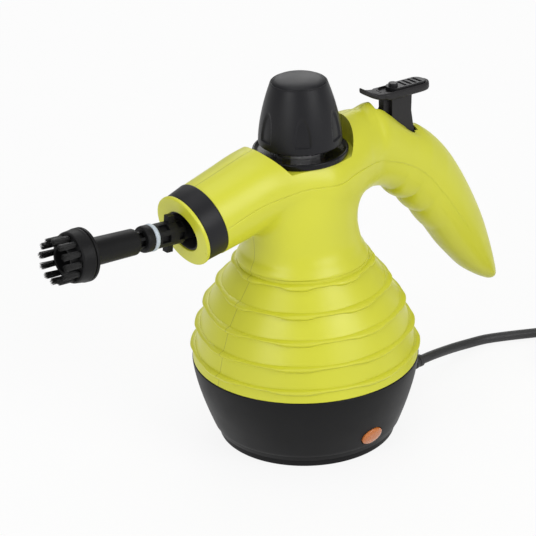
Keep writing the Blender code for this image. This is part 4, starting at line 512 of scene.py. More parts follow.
def make_plug(place):
    """Round moulded plug with a ribbed neck and a finger rim."""
    length = 42.0
    neck = []
    for i in range(6):
        z = 1.2 + 2.6 * i
        grow = 0.55 * i
        neck += [(4.6 + grow, z, 0.3), (4.6 + grow, z + 1.5, 0.3), (4.0 + grow, z + 1.6, 0.2),
                 (4.0 + grow, z + 2.5, 0.2)]
    profile = [(0.0, 0.0), (4.4, 0.0, 0.4), *neck, (8.8, 17.4, 1.0), (11.0, 21.0, 3.0),
               (16.4, 27.4, 2.0), (18.0, 29.8, 1.2), (18.0, 32.2, 0.4), (17.6, 32.6, 0.2),
               (17.6, 33.4, 0.2), (18.0, 33.8, 0.4), (18.0, length, 1.0),
               (12.0, length, 0.3), (11.7, length - 0.5, 0.2), (0.0, length - 0.5)]
    return piece(lathe("plug", profile, place, 72), CORD_BLACK, "body", "cord_black", "plug_body")


def make_tie():
    """A soft band once round the coil's bundle, with a rounded section."""
    half_span = COIL_STEP * (COIL_LAYER_TURNS + 0.5) / 2 + CORD_RADIUS + 0.2
    low, high = COIL_LIFT - 0.2, COIL_LIFT + 2 * CORD_RADIUS + COIL_STEP + 0.2
    place = Matrix.Translation(COIL_CENTRE) @ spin(TIE_DEG)
    rings = []
    for grow, y in ((0.0, -5.0), (0.55, -5.0), (0.75, -4.7), (0.75, 4.7), (0.55, 5.0), (0.0, 5.0)):
        loop = rounded_loop(half_span + grow, (high - low) / 2 + grow, 2.6 + grow, 6)
        rings.append([(COIL_MIDDLE_RADIUS + x, y, (low + high) / 2 + z) for x, z in loop])
    return piece(loft("coil_tie", rings, place, True), CORD_BLACK, "body", "cord_black", "cord_tie")


# Base, cover, lens and strain relief
FOOT_RADIUS, BASE_TOP_RADIUS, SKIRT_RADIUS = 54.4, 69.7, 69.4
BASE_HEIGHT = 51.1
COVER_HEIGHT = 4.2
PLINTH_TOP = 8.2
LEDGE_RADIUS = 44.0
LENS_Z = 16.0
LENS_HALF_WIDTH, LENS_HALF_HEIGHT = 6.2, 7.8
SCREW_PLACES = [aside(49.1, degrees) for degrees in (90.0, 210.0, 330.0)]
SKIRT_HEIGHT = 64.0
RIB_CLEAR = 2.6
RIBS = [(SKIRT_RADIUS * r, BASE_HEIGHT + SKIRT_HEIGHT * h) for r, h in
        ((0.974, 0.12), (0.928, 0.334), (0.850, 0.561), (0.729, 0.777), (0.582, 1.0))]


def base_radius(z):
    share = max(1 - z / BASE_HEIGHT, 0.0)
    return FOOT_RADIUS + (BASE_TOP_RADIUS - FOOT_RADIUS) * (1 - share ** 1.45)


def wall_radius(z):
    """Radius of the skirt between its ribs."""
    radii, heights = zip((SKIRT_RADIUS, BASE_HEIGHT), *RIBS)
    return float(np.interp(z, heights, radii))


def base_side(inset, start, end, count):
    return [(base_radius(z) - inset, z) for z in np.linspace(start, end, count)]


def lens_frame():
    lean = (base_radius(LENS_Z + 4) - base_radius(LENS_Z - 4)) / 8
    return aim((0.0, -base_radius(LENS_Z), LENS_Z), (0.0, -1.0, -lean))


def lens_rings(rows, grow=0.0):
    """Ovals of the lens from (height, share) rows."""
    return [[((LENS_HALF_WIDTH * share + grow) * spot.x, (LENS_HALF_HEIGHT * share + grow) * spot.y,
              height) for spot in circle(1.0, 0.0, 64)] for height, share in rows]


def make_base():
    bottom = COVER_HEIGHT + GAP
    plinth = base_radius(PLINTH_TOP)
    lip_top = BASE_HEIGHT + 4.0
    lip = wall_radius(lip_top) - WALL - 1.6
    profile = [(base_radius(BASE_HEIGHT) - 0.35, BASE_HEIGHT),
               *base_side(0.0, BASE_HEIGHT - 0.5, PLINTH_TOP + 0.3, 26),
               (plinth - 0.2, PLINTH_TOP), (plinth - 0.65, PLINTH_TOP),
               *base_side(0.6, PLINTH_TOP - 0.3, bottom + 0.2, 6),
               (base_radius(bottom) - 0.8, bottom), (LEDGE_RADIUS, bottom),
               (LEDGE_RADIUS, bottom + WALL), *base_side(WALL, bottom + WALL, 47.1, 10),
               (lip - 1.9, 49.5), (lip - 1.9, lip_top), (lip, lip_top), (lip, BASE_HEIGHT)]
    shell = lathe("base_cup", profile, steps=144)
    for place in SCREW_PLACES:
        join(shell, rod("post", 4.2, 5.7, 61.9, place, 24))
        cut(shell, rod("post_bore", 1.7, 0.5, 18.0, place, 16))
    cut(shell, loft("lens_hole", lens_rings([(-8.0, 1.0), (6.0, 1.0)], 0.25), lens_frame()),
        rod("cord_hole", 4.3, 30.0, 90.0, backward(0.0, CORD_EXIT_Z), 32))
    piece(shell, BASE_BLACK, "body", "base_black", "base_shell", angle=30.0)

    cover = lathe("foot_cover", [
        (0.0, 2.2), (LEDGE_RADIUS, 2.2, 0.2), (LEDGE_RADIUS, COVER_HEIGHT, 0.2),
        (FOOT_RADIUS, COVER_HEIGHT, 0.35), (FOOT_RADIUS, 0.6, 0.3), (FOOT_RADIUS - 0.6, 0.0, 0.3),
        (51.0, 0.0), (50.7, 0.35), (49.6, 0.35), (49.3, 0.0), (0.0, 0.0)], steps=144)
    for place in SCREW_PLACES:
        cut(cover, rod("cover_bore", 1.7, -4.0, 8.0, place, 16),
            rod("cover_sink", 3.0, -4.0, 2.2, place, 32))
    for i in range(4):
        cut(cover, rod("vent", 2.0, -4.0, 6.0, aside(24.0, 90.0 * i), 24))
    piece(cover, BASE_BLACK, "body", "base_black", "bottom_cover", angle=30.0)

    rows = [(-5.0, 0.84), (-1.0, 0.95), (0.0, 0.97)]
    for k in range(1, 11):
        turn = math.radians(9.0 * k)
        rows.append((1.6 * math.sin(turn), 0.97 * max(math.cos(turn), 0.04) ** 0.7))
    piece(loft("lens", lens_rings(rows), lens_frame()), orange_lens(), "body", "orange_lens",
          "indicator_lens", angle=60.0)


def make_strain_relief():
    """A sleeve with ribs that grow towards a collar at the base."""
    collar = base_radius(CORD_EXIT_Z + 6.2) + GAP
    tip = base_radius(CORD_EXIT_Z) + RELIEF_LENGTH
    profile = [(0.0, tip), (3.9, tip, 0.5)]
    count, last = 7, tip - 2.5
    for i in range(count):
        z = last - (last - collar - 6.5) * i / count
        outer = 3.95 + 0.28 * i
        profile += [(outer, z, 0.4), (outer - 0.75, z - 0.5, 0.3), (outer - 0.75, z - 1.3, 0.3),
                    (outer + 0.1, z - 1.8, 0.4)]
    profile += [(6.2, collar + 3.6, 0.8), (6.2, collar, 0.5), (4.0, collar), (4.0, 48.9),
                (4.7, 48.9), (4.7, 47.5), (0.0, 47.5)]
    piece(lathe("cord_sleeve", profile, backward(0.0, CORD_EXIT_Z), 48), CORD_BLACK, "body",
          "cord_black", "strain_relief")


def make_inner_lead():
    """The lead inside the base, from the terminal block to the sleeve."""
    first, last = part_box("inner_lead")
    start, length = first[0] / MM, (last[0] - first[0]) / MM
    profile = [(0.0, 0.0), (CORD_RADIUS, 0.0, 0.4), (CORD_RADIUS, length, 0.4), (0.0, length)]
    piece(lathe("lead", profile, backward(start, CORD_EXIT_Z), 48), CORD_BLACK, "body", "cord_black",
          "inner_lead")


# Housing: ribbed skirt, neck, spout, head and handle
NECK = [(BASE_HEIGHT + SKIRT_HEIGHT + 44.6 * rise, *(SKIRT_RADIUS * share for share in shares))
        for rise, *shares in (
            # rise, shift to the front, half length, half width
            (0.08, 0.013, 0.581, 0.571), (0.16, 0.014, 0.562, 0.539), (0.227, 0.015, 0.536, 0.522),
            (0.36, 0.017, 0.525, 0.487), (0.56, 0.028, 0.522, 0.470), (0.78, 0.032, 0.527, 0.464),
            (1.00, 0.036, 0.530, 0.448), (1.12, 0.036, 0.510, 0.425), (1.25, 0.036, 0.480, 0.390))]
NOZZLE_RISE = math.radians(5.8)
NOZZLE = aim((-90.8, 0.0, 162.2), (-math.cos(NOZZLE_RISE), 0.0, math.sin(NOZZLE_RISE)))
SPOUT_FACE = (-91.2, 161.0)
SPOUT_DIP = math.radians(12.7)
SPOUT_SLOPE = 0.192
SPOUT_SEAT = 15.9
PIVOT = across(60.0, 184.0)
BOSSES = ((90.0, 148.2, 15.5), (116.5, 116.4, 15.5), (138.1, 81.9, 13.1), (-47.3, 154.1, 14.4))
POCKET_RADIUS, POCKET_FLOOR = 31.0, 183.7
POCKET_STRETCH = Matrix.Translation((-1.8, 0.0, 0.0)) @ Matrix.Diagonal((1.11, 1.0, 1.0, 1.0))
STATIONS = (
    # top x, top z, underside x, underside z, half width, sharpness of the top
    (-22.0, 198.7, -14.0, 142.0, 27.0, 1.08), (0.0, 199.6, 2.0, 138.0, 32.5, 1.08),
    (20.0, 199.6, 17.9, 138.6, 29.5, 1.08), (35.0, 199.4, 32.9, 144.9, 24.5, 1.08),
    (41.0, 199.4, 38.2, 146.4, 22.3, 1.10), (46.8, 198.8, 42.6, 147.0, 20.8, 1.15),
    (52.8, 201.1, 47.3, 147.2, 19.4, 1.35), (59.5, 198.3, 52.0, 147.0, 18.5, 1.12),
    (71.1, 189.6, 59.5, 145.0, 17.5, 1.08), (83.0, 182.0, 67.0, 140.6, 17.0, 1.08),
    (94.7, 174.8, 75.8, 134.6, 17.0, 1.08), (106.4, 164.9, 85.9, 123.8, 17.0, 1.08),
    (117.7, 151.8, 95.9, 111.7, 17.0, 1.08), (128.4, 135.1, 104.8, 98.6, 16.5, 1.08),
    (137.6, 118.0, 113.2, 86.6, 15.5, 1.08), (145.4, 100.8, 122.2, 75.9, 14.5, 1.08),
    (151.6, 82.9, 131.6, 65.7, 13.0, 1.08), (156.0, 67.3, 141.2, 58.1, 11.0, 1.08),
    (158.6, 56.6, 149.4, 52.8, 8.0, 1.08), (158.0, 53.0, 154.2, 50.6, 4.0, 1.08))
CREASE = catmull(((-80.0, 163.8), (-73.0, 165.6), (-52.0, 171.1), (-31.7, 172.8), (-14.7, 173.4),
                  (4.8, 172.2), (20.0, 173.8), (41.2, 171.9), (61.0, 165.3), (75.5, 158.0),
                  (87.7, 148.5), (100.0, 133.8), (112.6, 116.9), (125.2, 98.7), (130.4, 90.4),
                  (140.0, 74.0)), 4)
UNDERSIDE_SHARPNESS = 2 / 2.2
LINE_OFFSETS = (-1.6, -0.8, -0.35, 0.0, 0.35, 0.8, 1.6, 3.2, 5.5, 8.5)
GROOVE_DEPTHS = (0.0, 0.0, 0.06, 0.40, 0.06, 0.0, 0.0, 0.0, 0.0, 0.0)
SCOOP_DEPTHS = (0.0, 0.0, -0.03, 0.0, 0.30, 0.50, 0.55, 0.45, 0.25, 0.0)


def lobe(degrees):
    """Swell of a rib: 1 in the middle of each of its eight lobes, 0 between them."""
    return smooth_step((0.5 + 0.5 * math.cos(math.radians(8 * degrees))) * 1.35 - 0.2)


def spout_station(back, radius):
    x = SPOUT_FACE[0] + back * math.cos(SPOUT_DIP)
    z = SPOUT_FACE[1] + back * SPOUT_SLOPE
    dx, dz = -radius * math.sin(SPOUT_DIP), radius * math.cos(SPOUT_DIP)
    return (x + dx, z + dz, x - dx, z - dz, radius, 1.0, 1.0)


def head_stations(per, front=0.0):
    """Sections of spout, head and handle; the last value is the underside's sharpness."""
    rows = [spout_station(back, radius)
            for back, radius in ((SPOUT_SEAT - front, 22.9), (35.5, 23.75), (56.0, 24.6))]
    return catmull(rows + [(*row, UNDERSIDE_SHARPNESS) for row in STATIONS], per)


def finger_bumps(row):
    """Three waves for the fingers under the handle."""
    share = (row[2] - 68.2) / 34.0
    if 0 < share < 1:
        bump = (2.9 - 1.4 * share) * abs(math.sin(math.pi * 3 * share)) ** 0.65
        row = row.copy()
        row[2:4] += Vector(row[2:4] - row[:2]).normalized() * bump
    return row


def signed_power(value, power):
    return math.copysign(abs(value) ** power, value)


def section_point(row, angle):
    """Point of a section: height along it from the middle, and width."""
    u, v = math.cos(angle), math.sin(angle)
    power = row[5] if u > 0 else row[6]
    depth = math.dist(row[:2], row[2:4]) / 2
    return Vector((depth * signed_power(u, power), row[4] * signed_power(v, power)))


def section_step(row, angle):
    return section_point(row, angle + 0.01) - section_point(row, angle - 0.01)


def in_space(row, spot):
    """Place of a section's point."""
    middle = Vector(((row[0] + row[2]) / 2, (row[1] + row[3]) / 2))
    flat = middle + Vector((row[0] - row[2], row[1] - row[3])).normalized() * spot.x
    return Vector((flat.x, spot.y, flat.y))


def crease_angle(row):
    """Where a section meets the line along the side, as an angle from the top, and its x."""
    top, under = np.array(row[:2]), np.array(row[2:4])
    along = under - top
    side = (CREASE[:, 0] - top[0]) * along[1] - (CREASE[:, 1] - top[1]) * along[0]
    for i in range(len(side) - 1):
        if side[i] * side[i + 1] <= 0 and side[i] != side[i + 1]:
            spot = CREASE[i] + (CREASE[i + 1] - CREASE[i]) * side[i] / (side[i] - side[i + 1])
            share = float(np.dot(spot - top, along) / np.dot(along, along))
            if 0.05 < share < 0.95:
                u = 1 - 2 * share
                return math.acos(signed_power(u, 1 / (row[5] if u > 0 else row[6]))), float(spot[0])
    return math.pi / 2, math.inf


def head_ring(row):
    """A section whose loops follow the line along the side, pressed in beside it."""
    row = finger_bumps(row)
    meet, x = crease_angle(row)
    rate = section_step(row, meet).length / 0.02
    room = min(1.0, 0.55 * (math.pi - meet) * rate / LINE_OFFSETS[-1])
    near = [meet + d * room / rate for d in LINE_OFFSETS]
    above = list(np.linspace(0.0, near[0], 22)[:-1])
    below = list(np.linspace(near[-1], math.pi, 20)[1:])
    handle = smooth_step((x - 38.0) / 25.0)
    fade = (1 - smooth_step((x - 116.0) / 16.0)) * room
    pressed = [((1 - handle) * groove + handle * scoop) * fade
               for groove, scoop in zip(GROOVE_DEPTHS, SCOOP_DEPTHS)]
    depths = [0.0] * len(above) + pressed + [0.0] * len(below)
    half = []
    for angle, depth in zip(above + near + below, depths):
        spot = section_point(row, angle)
        if depth:
            tangent = section_step(row, angle).normalized()
            spot -= Vector((tangent.y, -tangent.x)) * depth
        half.append(in_space(row, spot))
    return half + [Vector((p.x, -p.y, p.z)) for p in reversed(half[1:-1])]


def plain_ring(row, inset, count=48):
    """A section drawn in by inset all round."""
    top, under = Vector(row[:2]), Vector(row[2:4])
    along = (top - under).normalized() * inset
    row = (*(top - along), *(under + along), row[4] - inset, row[5], row[6])
    return [in_space(row, section_point(row, math.tau * i / count)) for i in range(count)]


def skirt_rings(points):
    """Rings of the skirt; each rib is a bead round a height, from -1 below it to 1 above."""
    bead = (-1.0, -0.96, -0.85, -0.66, -0.4, -0.1, 0.2, 0.5, 0.74, 0.9, 0.98, 1.0)
    rows = [(BASE_HEIGHT + GAP, None)]
    before = BASE_HEIGHT + GAP + 0.6
    for _, height in RIBS:
        rows += [(before + (height - 4.2 - before) * t, None) for t in (0.25, 0.5, 0.75)]
        rows += [(height, u) for u in bead]
        before = height + RIB_CLEAR
    rows.append((before, None))
    rings = []
    for height, u in rows:
        ring = []
        for i in range(points):
            degrees = 360.0 * i / points
            z, proud = height, 0.0
            if u is not None:
                swell = lobe(degrees)
                high, low = 1.0 + 0.2 * swell, 1.15 + 1.45 * swell
                z = height + (high if u > 0 else low) * u - 0.2
                proud = (2.0 + 1.1 * swell) * (1 - u * u) ** (0.7 if u > 0 else 0.9)
            ring.append(polar(wall_radius(z) + proud, degrees, z))
        rings.append(ring)
    return rings


def neck_rings(points, inset=0.0, per=5):
    """Ovals of the neck, from just above the last rib up into the head."""
    start = (RIBS[-1][1] + RIB_CLEAR, 0.0, RIBS[-1][0] - 0.6, RIBS[-1][0] - 0.6)
    rows = catmull([start, *NECK], per)[1:]
    return [[Vector(((long - inset) * math.cos(math.tau * i / points) - shift,
                     (wide - inset) * math.sin(math.tau * i / points), height))
             for i in range(points)] for height, shift, long, wide in rows]


def filleted_neck(points, head):
    """The neck's loops up to the head, and on over a fillet that runs out on the head."""
    tree = BVHTree.FromObject(head, bpy.context.evaluated_depsgraph_get())
    rings = neck_rings(points, per=9)
    found = []
    for i in range(points):
        path = [ring[i] for ring in rings]
        for k in range(6, len(path) - 1):
            step = path[k + 1] - path[k]
            hit, normal, _, _ = tree.ray_cast(path[k], step.normalized(), step.length)
            if hit is not None:
                break
        out = (rings[k][(i + 1) % points] - rings[k][i - 1]).cross(step).normalized()
        way = normal.cross(out.cross(normal)).normalized()
        found.append((k, hit, way, abs(out.dot(normal))))
    columns = []
    for i, (last, hit, _, _) in enumerate(found):
        near = [found[(i + k) % points] for k in range(-5, 6)]
        way = sum((row[2] for row in near), Vector()).normalized()
        flat = sum(row[3] for row in near) / len(near)
        path = [ring[i] for ring in rings[:last + 1]] + [hit]
        lengths = np.cumsum([0.0, *((b - a).length for a, b in zip(path, path[1:]))])
        stops = np.linspace(0.0, max(lengths[-1] - (10.0 + 5.0 * flat ** 2), 1.0), 24)
        column = [Vector([float(np.interp(s, lengths, [p[axis] for p in path])) for axis in range(3)])
                  for s in stops]
        foot = column[-1]
        end, normal, _, _ = tree.find_nearest(hit + way * (10.0 - 3.0 * flat ** 2))
        column += [bent(foot, hit, end, k / 12) for k in range(1, 13)]
        # The last two loops lie inside the head
        column += [end - normal * 1.2, Vector((0.55 * end.x - 1.5, 0.55 * end.y, 158.0))]
        columns.append(column)
    return list(zip(*columns))


def make_housing():
    points = 240
    head = loft("head", [head_ring(row) for row in head_stations(8)])
    body = loft("housing", skirt_rings(points) + filleted_neck(points, head))
    # A shallow dip under the lever
    for vertex in head.data.vertices:
        x, y = vertex.co.x, abs(vertex.co.y)
        if 60.0 < x < 94.0 and y < 13.0 and vertex.co.z > 168.0:
            down = np.interp(x, (62.0, 68.6, 74.5, 80.4, 85.7, 93.0), (0.0, 0.6, 2.2, 3.4, 3.6, 0.0))
            vertex.co.z -= float(down) * (1 - smooth_step((y - 6.5) / 6.0))
    head_void = loft("head_void", [plain_ring(row, WALL) for row in head_stations(3, 4.0)
                                   if min(math.dist(row[:2], row[2:4]) / 2, row[4]) > 2.5 * WALL])
    cut(head_void, rod("pocket_guard", POCKET_RADIUS + WALL, POCKET_FLOOR - WALL, 240.0,
                       POCKET_STRETCH, 96))
    rings = [circle(wall_radius(z) - WALL, z, 96) for z in (47.0, 55.1, *(h for _, h in RIBS))]
    body_void = loft("body_void", rings + neck_rings(96, WALL, 2)[:-6])
    join(body, head)
    cut(body, head_void, body_void)
    join(body, *(rod("boss", 3.6, -span, span, across(x, z), 24) for x, z, span in BOSSES),
         *(rod("pivot_boss", 5.0, *ends, PIVOT, 32) for ends in ((-11.2, -5.0), (5.0, 11.2))))
    cut(body, rod("pocket", POCKET_RADIUS, POCKET_FLOOR, 240.0, POCKET_STRETCH, 128),
        rod("pocket_hole", 22.1, 150.0, 205.0, steps=96),
        block("lever_slot", (55.0, -5.8, 168.0), (89.6, 5.8, 208.0)))
    for x, z, span in BOSSES:
        cut(body, rod("head_bore", 2.9, 6.0, span + 20.0, across(x, z), 32),
            rod("shank_bore", 1.5, -9.0, 8.0, across(x, z), 16))
    cut(body, rod("pin_bore", 1.8, -10.3, 10.3, PIVOT, 24))
    piece(body, LIME, "body", "lime", "housing_left", "housing_right", angle=32.0)


# Collar, cap and the end of the spout
def make_collar():
    profile = [(27.7, 187.9, 0.5), (28.9, 187.4, 0.7), (28.4, 184.0, 0.3), (21.8, 184.0),
               (21.8, 178.0), (20.4, 178.0), (20.4, 184.2), (14.8, 184.2), (14.8, 185.4, 0.3),
               (20.5, 185.6, 2.0), (26.0, 186.2, 1.5)]
    piece(lathe("dish_collar", profile, steps=128), GLOSS_BLACK, "body", "gloss_black",
          "filler_collar")


CAP_LOW, CAP_HEIGHT = 191.9, 38.1
FLUTE_FOOT, FLUTE_RISE, FLUTE_HALF, FLUTE_DEPTH = 4.6, 19.0, 5.4, 1.05
FLUTES, FLUTE_SHIFT_DEG = 6, 6.5


def cap_radius(z):
    return 25.2 - 8.3 * ((z - CAP_LOW) / CAP_HEIGHT) ** 1.7


def make_cap():
    side = [(cap_radius(z), z) for z in CAP_LOW + CAP_HEIGHT * np.linspace(0.985, 0.06, 120)]
    dome = [(15.9 * math.sin(math.radians(a)), 229.75 + 2.85 * math.cos(math.radians(a)))
            for a in (12, 24, 36, 48, 60, 70, 78, 84, 88)]
    crease = [(15.95, 229.35), (16.15, 229.2), (16.3, 229.35), (16.4, 229.75), (16.6, 229.9),
              (16.85, 229.7)]
    lip = [(25.2, 192.9), (25.05, 192.3), (24.6, 191.95), (24.2, CAP_LOW), (19.8, CAP_LOW),
           (19.6, 192.1), (19.6, 193.4)]
    inner = [(cap_radius(z) - 2.0, z) for z in np.linspace(193.4, 228.0, 12)]
    cap = lathe("cap", [(0.0, 232.6), *dome, *crease, *side, *lip, *inner, (0.0, 228.0)], steps=324)
    half_spacing = 180.0 / FLUTES
    for vertex in cap.data.vertices:
        radius = vertex.co.to_2d().length
        up = vertex.co.z - CAP_LOW - FLUTE_FOOT
        if not 0 <= up <= FLUTE_RISE or abs(radius - cap_radius(vertex.co.z)) > 0.3:
            continue
        turn = math.degrees(math.atan2(vertex.co.y, vertex.co.x)) + FLUTE_SHIFT_DEG
        beside = math.radians((turn + half_spacing) % (2 * half_spacing) - half_spacing) * radius
        inside = FLUTE_HALF * (1 - math.hypot(beside / FLUTE_HALF, up / FLUTE_RISE))
        press = FLUTE_DEPTH * smooth_step(inside / 1.1) * smooth_step(up / 0.35)
        vertex.co.xy *= (radius - press) / radius
    piece(cap, CAP_BLACK, "cap_outer", "cap_black", "cap_shell", angle=30.0)


def make_spout_end():
    place = aim((SPOUT_FACE[0], 0.0, SPOUT_FACE[1]),
                (-math.cos(SPOUT_DIP), 0.0, -math.sin(SPOUT_DIP)))
    end_ring = lathe("end_ring", [
        (22.5, 0.0, 1.7), (22.5, -2.1, 0.25), (19.4, -2.1), (19.4, -20.1), (17.6, -20.1),
        (17.6, -4.6), (13.0, -3.7), (13.0, 0.0, 0.8)], place, 128, 7)
    cut(end_ring, block("split", (20.0, -0.12, -1.2), (24.0, 0.12, 1.0), place @ spin(66.0)))
    piece(end_ring, PLAIN_LIME, "body", "lime", "spout_end_ring")
    band = [(21.9, -2.4, 0.3), (22.9, -15.6, 0.25), (19.7, -15.6), (19.7, -2.4)]
    piece(lathe("band", band, place, 128), CAP_BLACK, "body", "cap_black", "spout_band")
    socket = lathe("socket", [
        (0.0, -15.0), (7.5, -15.0, 0.8), (11.9, -1.0, 0.3), (12.7, -0.8, 0.2), (12.7, -3.7),
        (9.5, -17.0), (0.0, -17.0)], place)
    cut(socket, rod("spigot_hole", 6.1, -48.0, 24.0, NOZZLE))
    piece(socket, CAP_BLACK, "body", "cap_black", "outlet_socket")


def make_spigot():
    spigot = lathe("spigot", [
        (1.6, 64.0, 0.3), (5.4, 64.0, 1.2), (5.4, 30.6), (7.5, 30.6, 0.6), (8.0, 29.2, 0.8),
        (8.0, 25.4, 0.4), (6.0, 25.4), (6.0, 21.8), (7.4, 21.8, 0.4), (7.4, 3.0, 0.4), (5.8, 3.0),
        (5.8, -24.0), (1.6, -24.0)], NOZZLE, 72)
    half = 2.2
    join(spigot, block("lug", (-11.2, -half, 8.4), (-6.0, half, 12.6), NOZZLE),
         block("lug", (6.0, -half, 8.4), (11.2, half, 12.6), NOZZLE))
    for degrees in (88.0, 146.0, 268.0, 326.0):
        turn = NOZZLE @ spin(degrees)
        cut(spigot, block("window", (5.2, -half, 14.0), (12.0, half, 20.2), turn),
            block("inner_window", (5.2, -half, 3.6), (12.0, half, 7.6), turn),
            block("core_notch", (3.2, -1.8, 30.8), (12.0, 1.8, 70.0), turn))
    piece(spigot, BASE_BLACK, "body", "base_black", "steam_spigot", bevel=0.25)
    ring = [(6.95 + 1.3 * spot.x, 23.6 + 1.7 * spot.y) for spot in circle(1.0, 0.0, 24)]
    piece(lathe("o_ring", ring, NOZZLE, 72), PALE_SEAL, "body", "pale_silicone", "spigot_o_ring",
          angle=60.0)


# Brush with its tufts
TUFTS = 12
TUFT_CIRCLE, TUFT_RADIUS, TUFT_FOOT, TUFT_LENGTH = 11.9, 1.75, 81.6, 12.2
STRANDS = 64


def make_brush():
    body = lathe("brush_head", [
        (8.8, 86.4, 0.4), (9.2, 82.2, 0.2), (14.4, 82.2, 0.3), (14.9, 81.4, 0.3), (15.5, 75.9, 0.5),
        (15.8, 75.0, 0.5), (15.8, 73.9, 0.35), (14.9, 73.8, 0.2), (14.9, 73.2, 0.2),
        (15.8, 73.1, 0.35), (15.8, 71.2, 0.5), (14.6, 71.2, 0.3), (8.3, 70.6, 0.6), (7.8, 36.6, 0.3),
        (7.4, 35.8, 0.2), (5.7, 35.8), (5.7, 64.6), (2.5, 64.6), (2.5, 74.7, 0.3), (7.2, 75.6, 0.4),
        (7.2, 86.4, 0.4)], NOZZLE)
    cut(body, *(rod("tuft_hole", 1.95, 80.8, 84.2,
                    NOZZLE @ aside(TUFT_CIRCLE, 360.0 * tuft / TUFTS), 20)
                for tuft in range(TUFTS)))
    piece(body, BASE_BLACK, "brush", "base_black", "brush_body", angle=30.0)

    rng = random.Random(7)
    golden = math.pi * (3 - math.sqrt(5))
    verts, faces = [], []
    for tuft in range(TUFTS):
        centre = polar(TUFT_CIRCLE, 360.0 * tuft / TUFTS)
        for strand in range(STRANDS):
            foot = polar(TUFT_RADIUS * math.sqrt((strand + 0.5) / STRANDS),
                         math.degrees(strand * golden + tuft))
            lean = Vector((rng.uniform(-0.22, 0.22), rng.uniform(-0.22, 0.22), 0.0))
            length = TUFT_LENGTH * rng.uniform(0.92, 1.0)
            rows = []
            for t, radius in ((0.0, 0.13), (0.35, 0.13), (0.7, 0.13), (1.0, 0.09)):
                out = foot * (1 + 0.14 * t) + lean * t * t
                middle = centre + out + Vector((0.0, 0.0, TUFT_FOOT + length * t))
                rows.append(range(len(verts), len(verts) + 5))
                verts += [middle + spot for spot in circle(radius, 0.0, 5)]
            faces += [*skin(rows), rows[-1], rows[0]]
    piece(mesh_object("bristles", verts, faces, NOZZLE), BRISTLE, "brush", "gloss_black",
          "brush_bristles", angle=60.0)


# Thumb lever and lock slider
TIP_FRONT, PAD_FRONT, PAD_REAR, PAD_TOP = 50.2, 64.0, 102.0, 205.3
PAD_DROP = 2.4
PAD_SECTIONS = (
    # share of the pad's length, half width, thickness
    (0.0, 7.0, 3.8), (0.04, 7.15, 4.6), (0.1, 7.2, 5.0), (0.3, 7.2, 5.0), (0.5, 7.2, 5.0),
    (0.7, 7.15, 5.0), (0.82, 6.9, 5.0), (0.9, 6.1, 5.0), (0.955, 4.6, 4.9), (0.985, 3.2, 4.7),
    (1.0, 1.9, 4.3))


def pad_height(x):
    """Top of the lever: it falls to the rear and curls up at the tip."""
    if x >= PAD_FRONT:
        return PAD_TOP - PAD_DROP * (x - PAD_FRONT) / (PAD_REAR - PAD_FRONT)
    return PAD_TOP + 4.3 * ((PAD_FRONT - x) / 12.5) ** 2


def pad_ring(x, half_width, thickness):
    middle = pad_height(x) - thickness / 2
    corner = min(thickness, half_width) * 0.34
    return [(x, y, middle + z) for y, z in rounded_loop(half_width, thickness / 2, corner, 4)]


def slider_form(name, forward, grow, low, high, place):
    """A plate with round ends, from z = low to z = high."""
    outline = []
    for centre, first in ((24.0, -90.0), (5.0 - forward, 90.0)):
        for i in range(13):
            spot = polar(5.0 + grow, first + 15.0 * i)
            outline.append((centre + spot.x, spot.y))
    return loft(name, [[(x, y, z) for x, y in outline] for z in (low, high)], place)


def make_lever():
    rows = []
    for share in np.linspace(0.0, 1.0, 14)[:-1]:
        wide = 6.2 * (1 - 0.9 * (1 - share) ** 3.2) if share < 0.5 else 6.2
        rows.append((TIP_FRONT + (PAD_FRONT - TIP_FRONT) * share, max(wide, 3.2), 3.3 + 0.4 * share))
    rows += [(PAD_FRONT + (PAD_REAR - PAD_FRONT) * share, *sizes) for share, *sizes in PAD_SECTIONS]
    lever = loft("lever", [pad_ring(*row) for row in rows])
    web = slab("web", [(69.3, 200.6), (69.3, 176.0), (71.0, 170.4), (73.5, 168.2), (84.6, 168.2),
                       (88.2, 170.8), (86.6, 178.0), (85.0, 188.5), (85.6, 200.6)], -5.0, 5.0)
    rib = slab("rib", [(64.8, 201.0), (64.8, 194.2), (61.0, 188.6), (56.4, 187.4), (55.9, 180.6),
                       (63.0, 180.2), (66.0, 171.0), (70.0, 168.3), (70.5, 200.9)], -2.2, 2.2)
    join(lever, web, rib, rod("eye", 4.7, -5.0, 5.0, PIVOT, 40))
    slope = math.atan2(PAD_DROP, PAD_REAR - PAD_FRONT)
    start = PAD_REAR - 29.0 - 2.75
    place = Matrix.Translation((start, 0.0, pad_height(start))) @ Matrix.Rotation(slope, 4, "Y")
    cut(lever, slider_form("tray", 5.6, 0.6, -1.3, 4.0, place),
        block("tick", (-7.6, -2.4, -0.5), (-6.9, 2.4, 3.0), place),
        rod("eye_bore", 1.8, -12.0, 12.0, PIVOT, 24))
    piece(lever, LEVER_BLACK, "trigger", "cap_black", "trigger_lever", bevel=0.3)

    slider = slider_form("slider", 0.0, 0.0, -1.0, 1.2, place)
    cut(slider, *(block("groove", (x, -3.9, 0.55), (x + 1.9, 3.9, 6.0), place)
                  for x in (10.6, 14.7, 18.8, 22.9)))
    join(slider, lathe("knob", [(0.0, 3.0), (2.9, 3.4, 0.7), (2.9, 0.0), (0.0, 0.0)],
                       place @ Matrix.Translation((4.35, 0.0, 0.0)), 40))
    piece(slider, SLIDER_BLACK, "lock", "gloss_black", "lock_slider", bevel=0.2)


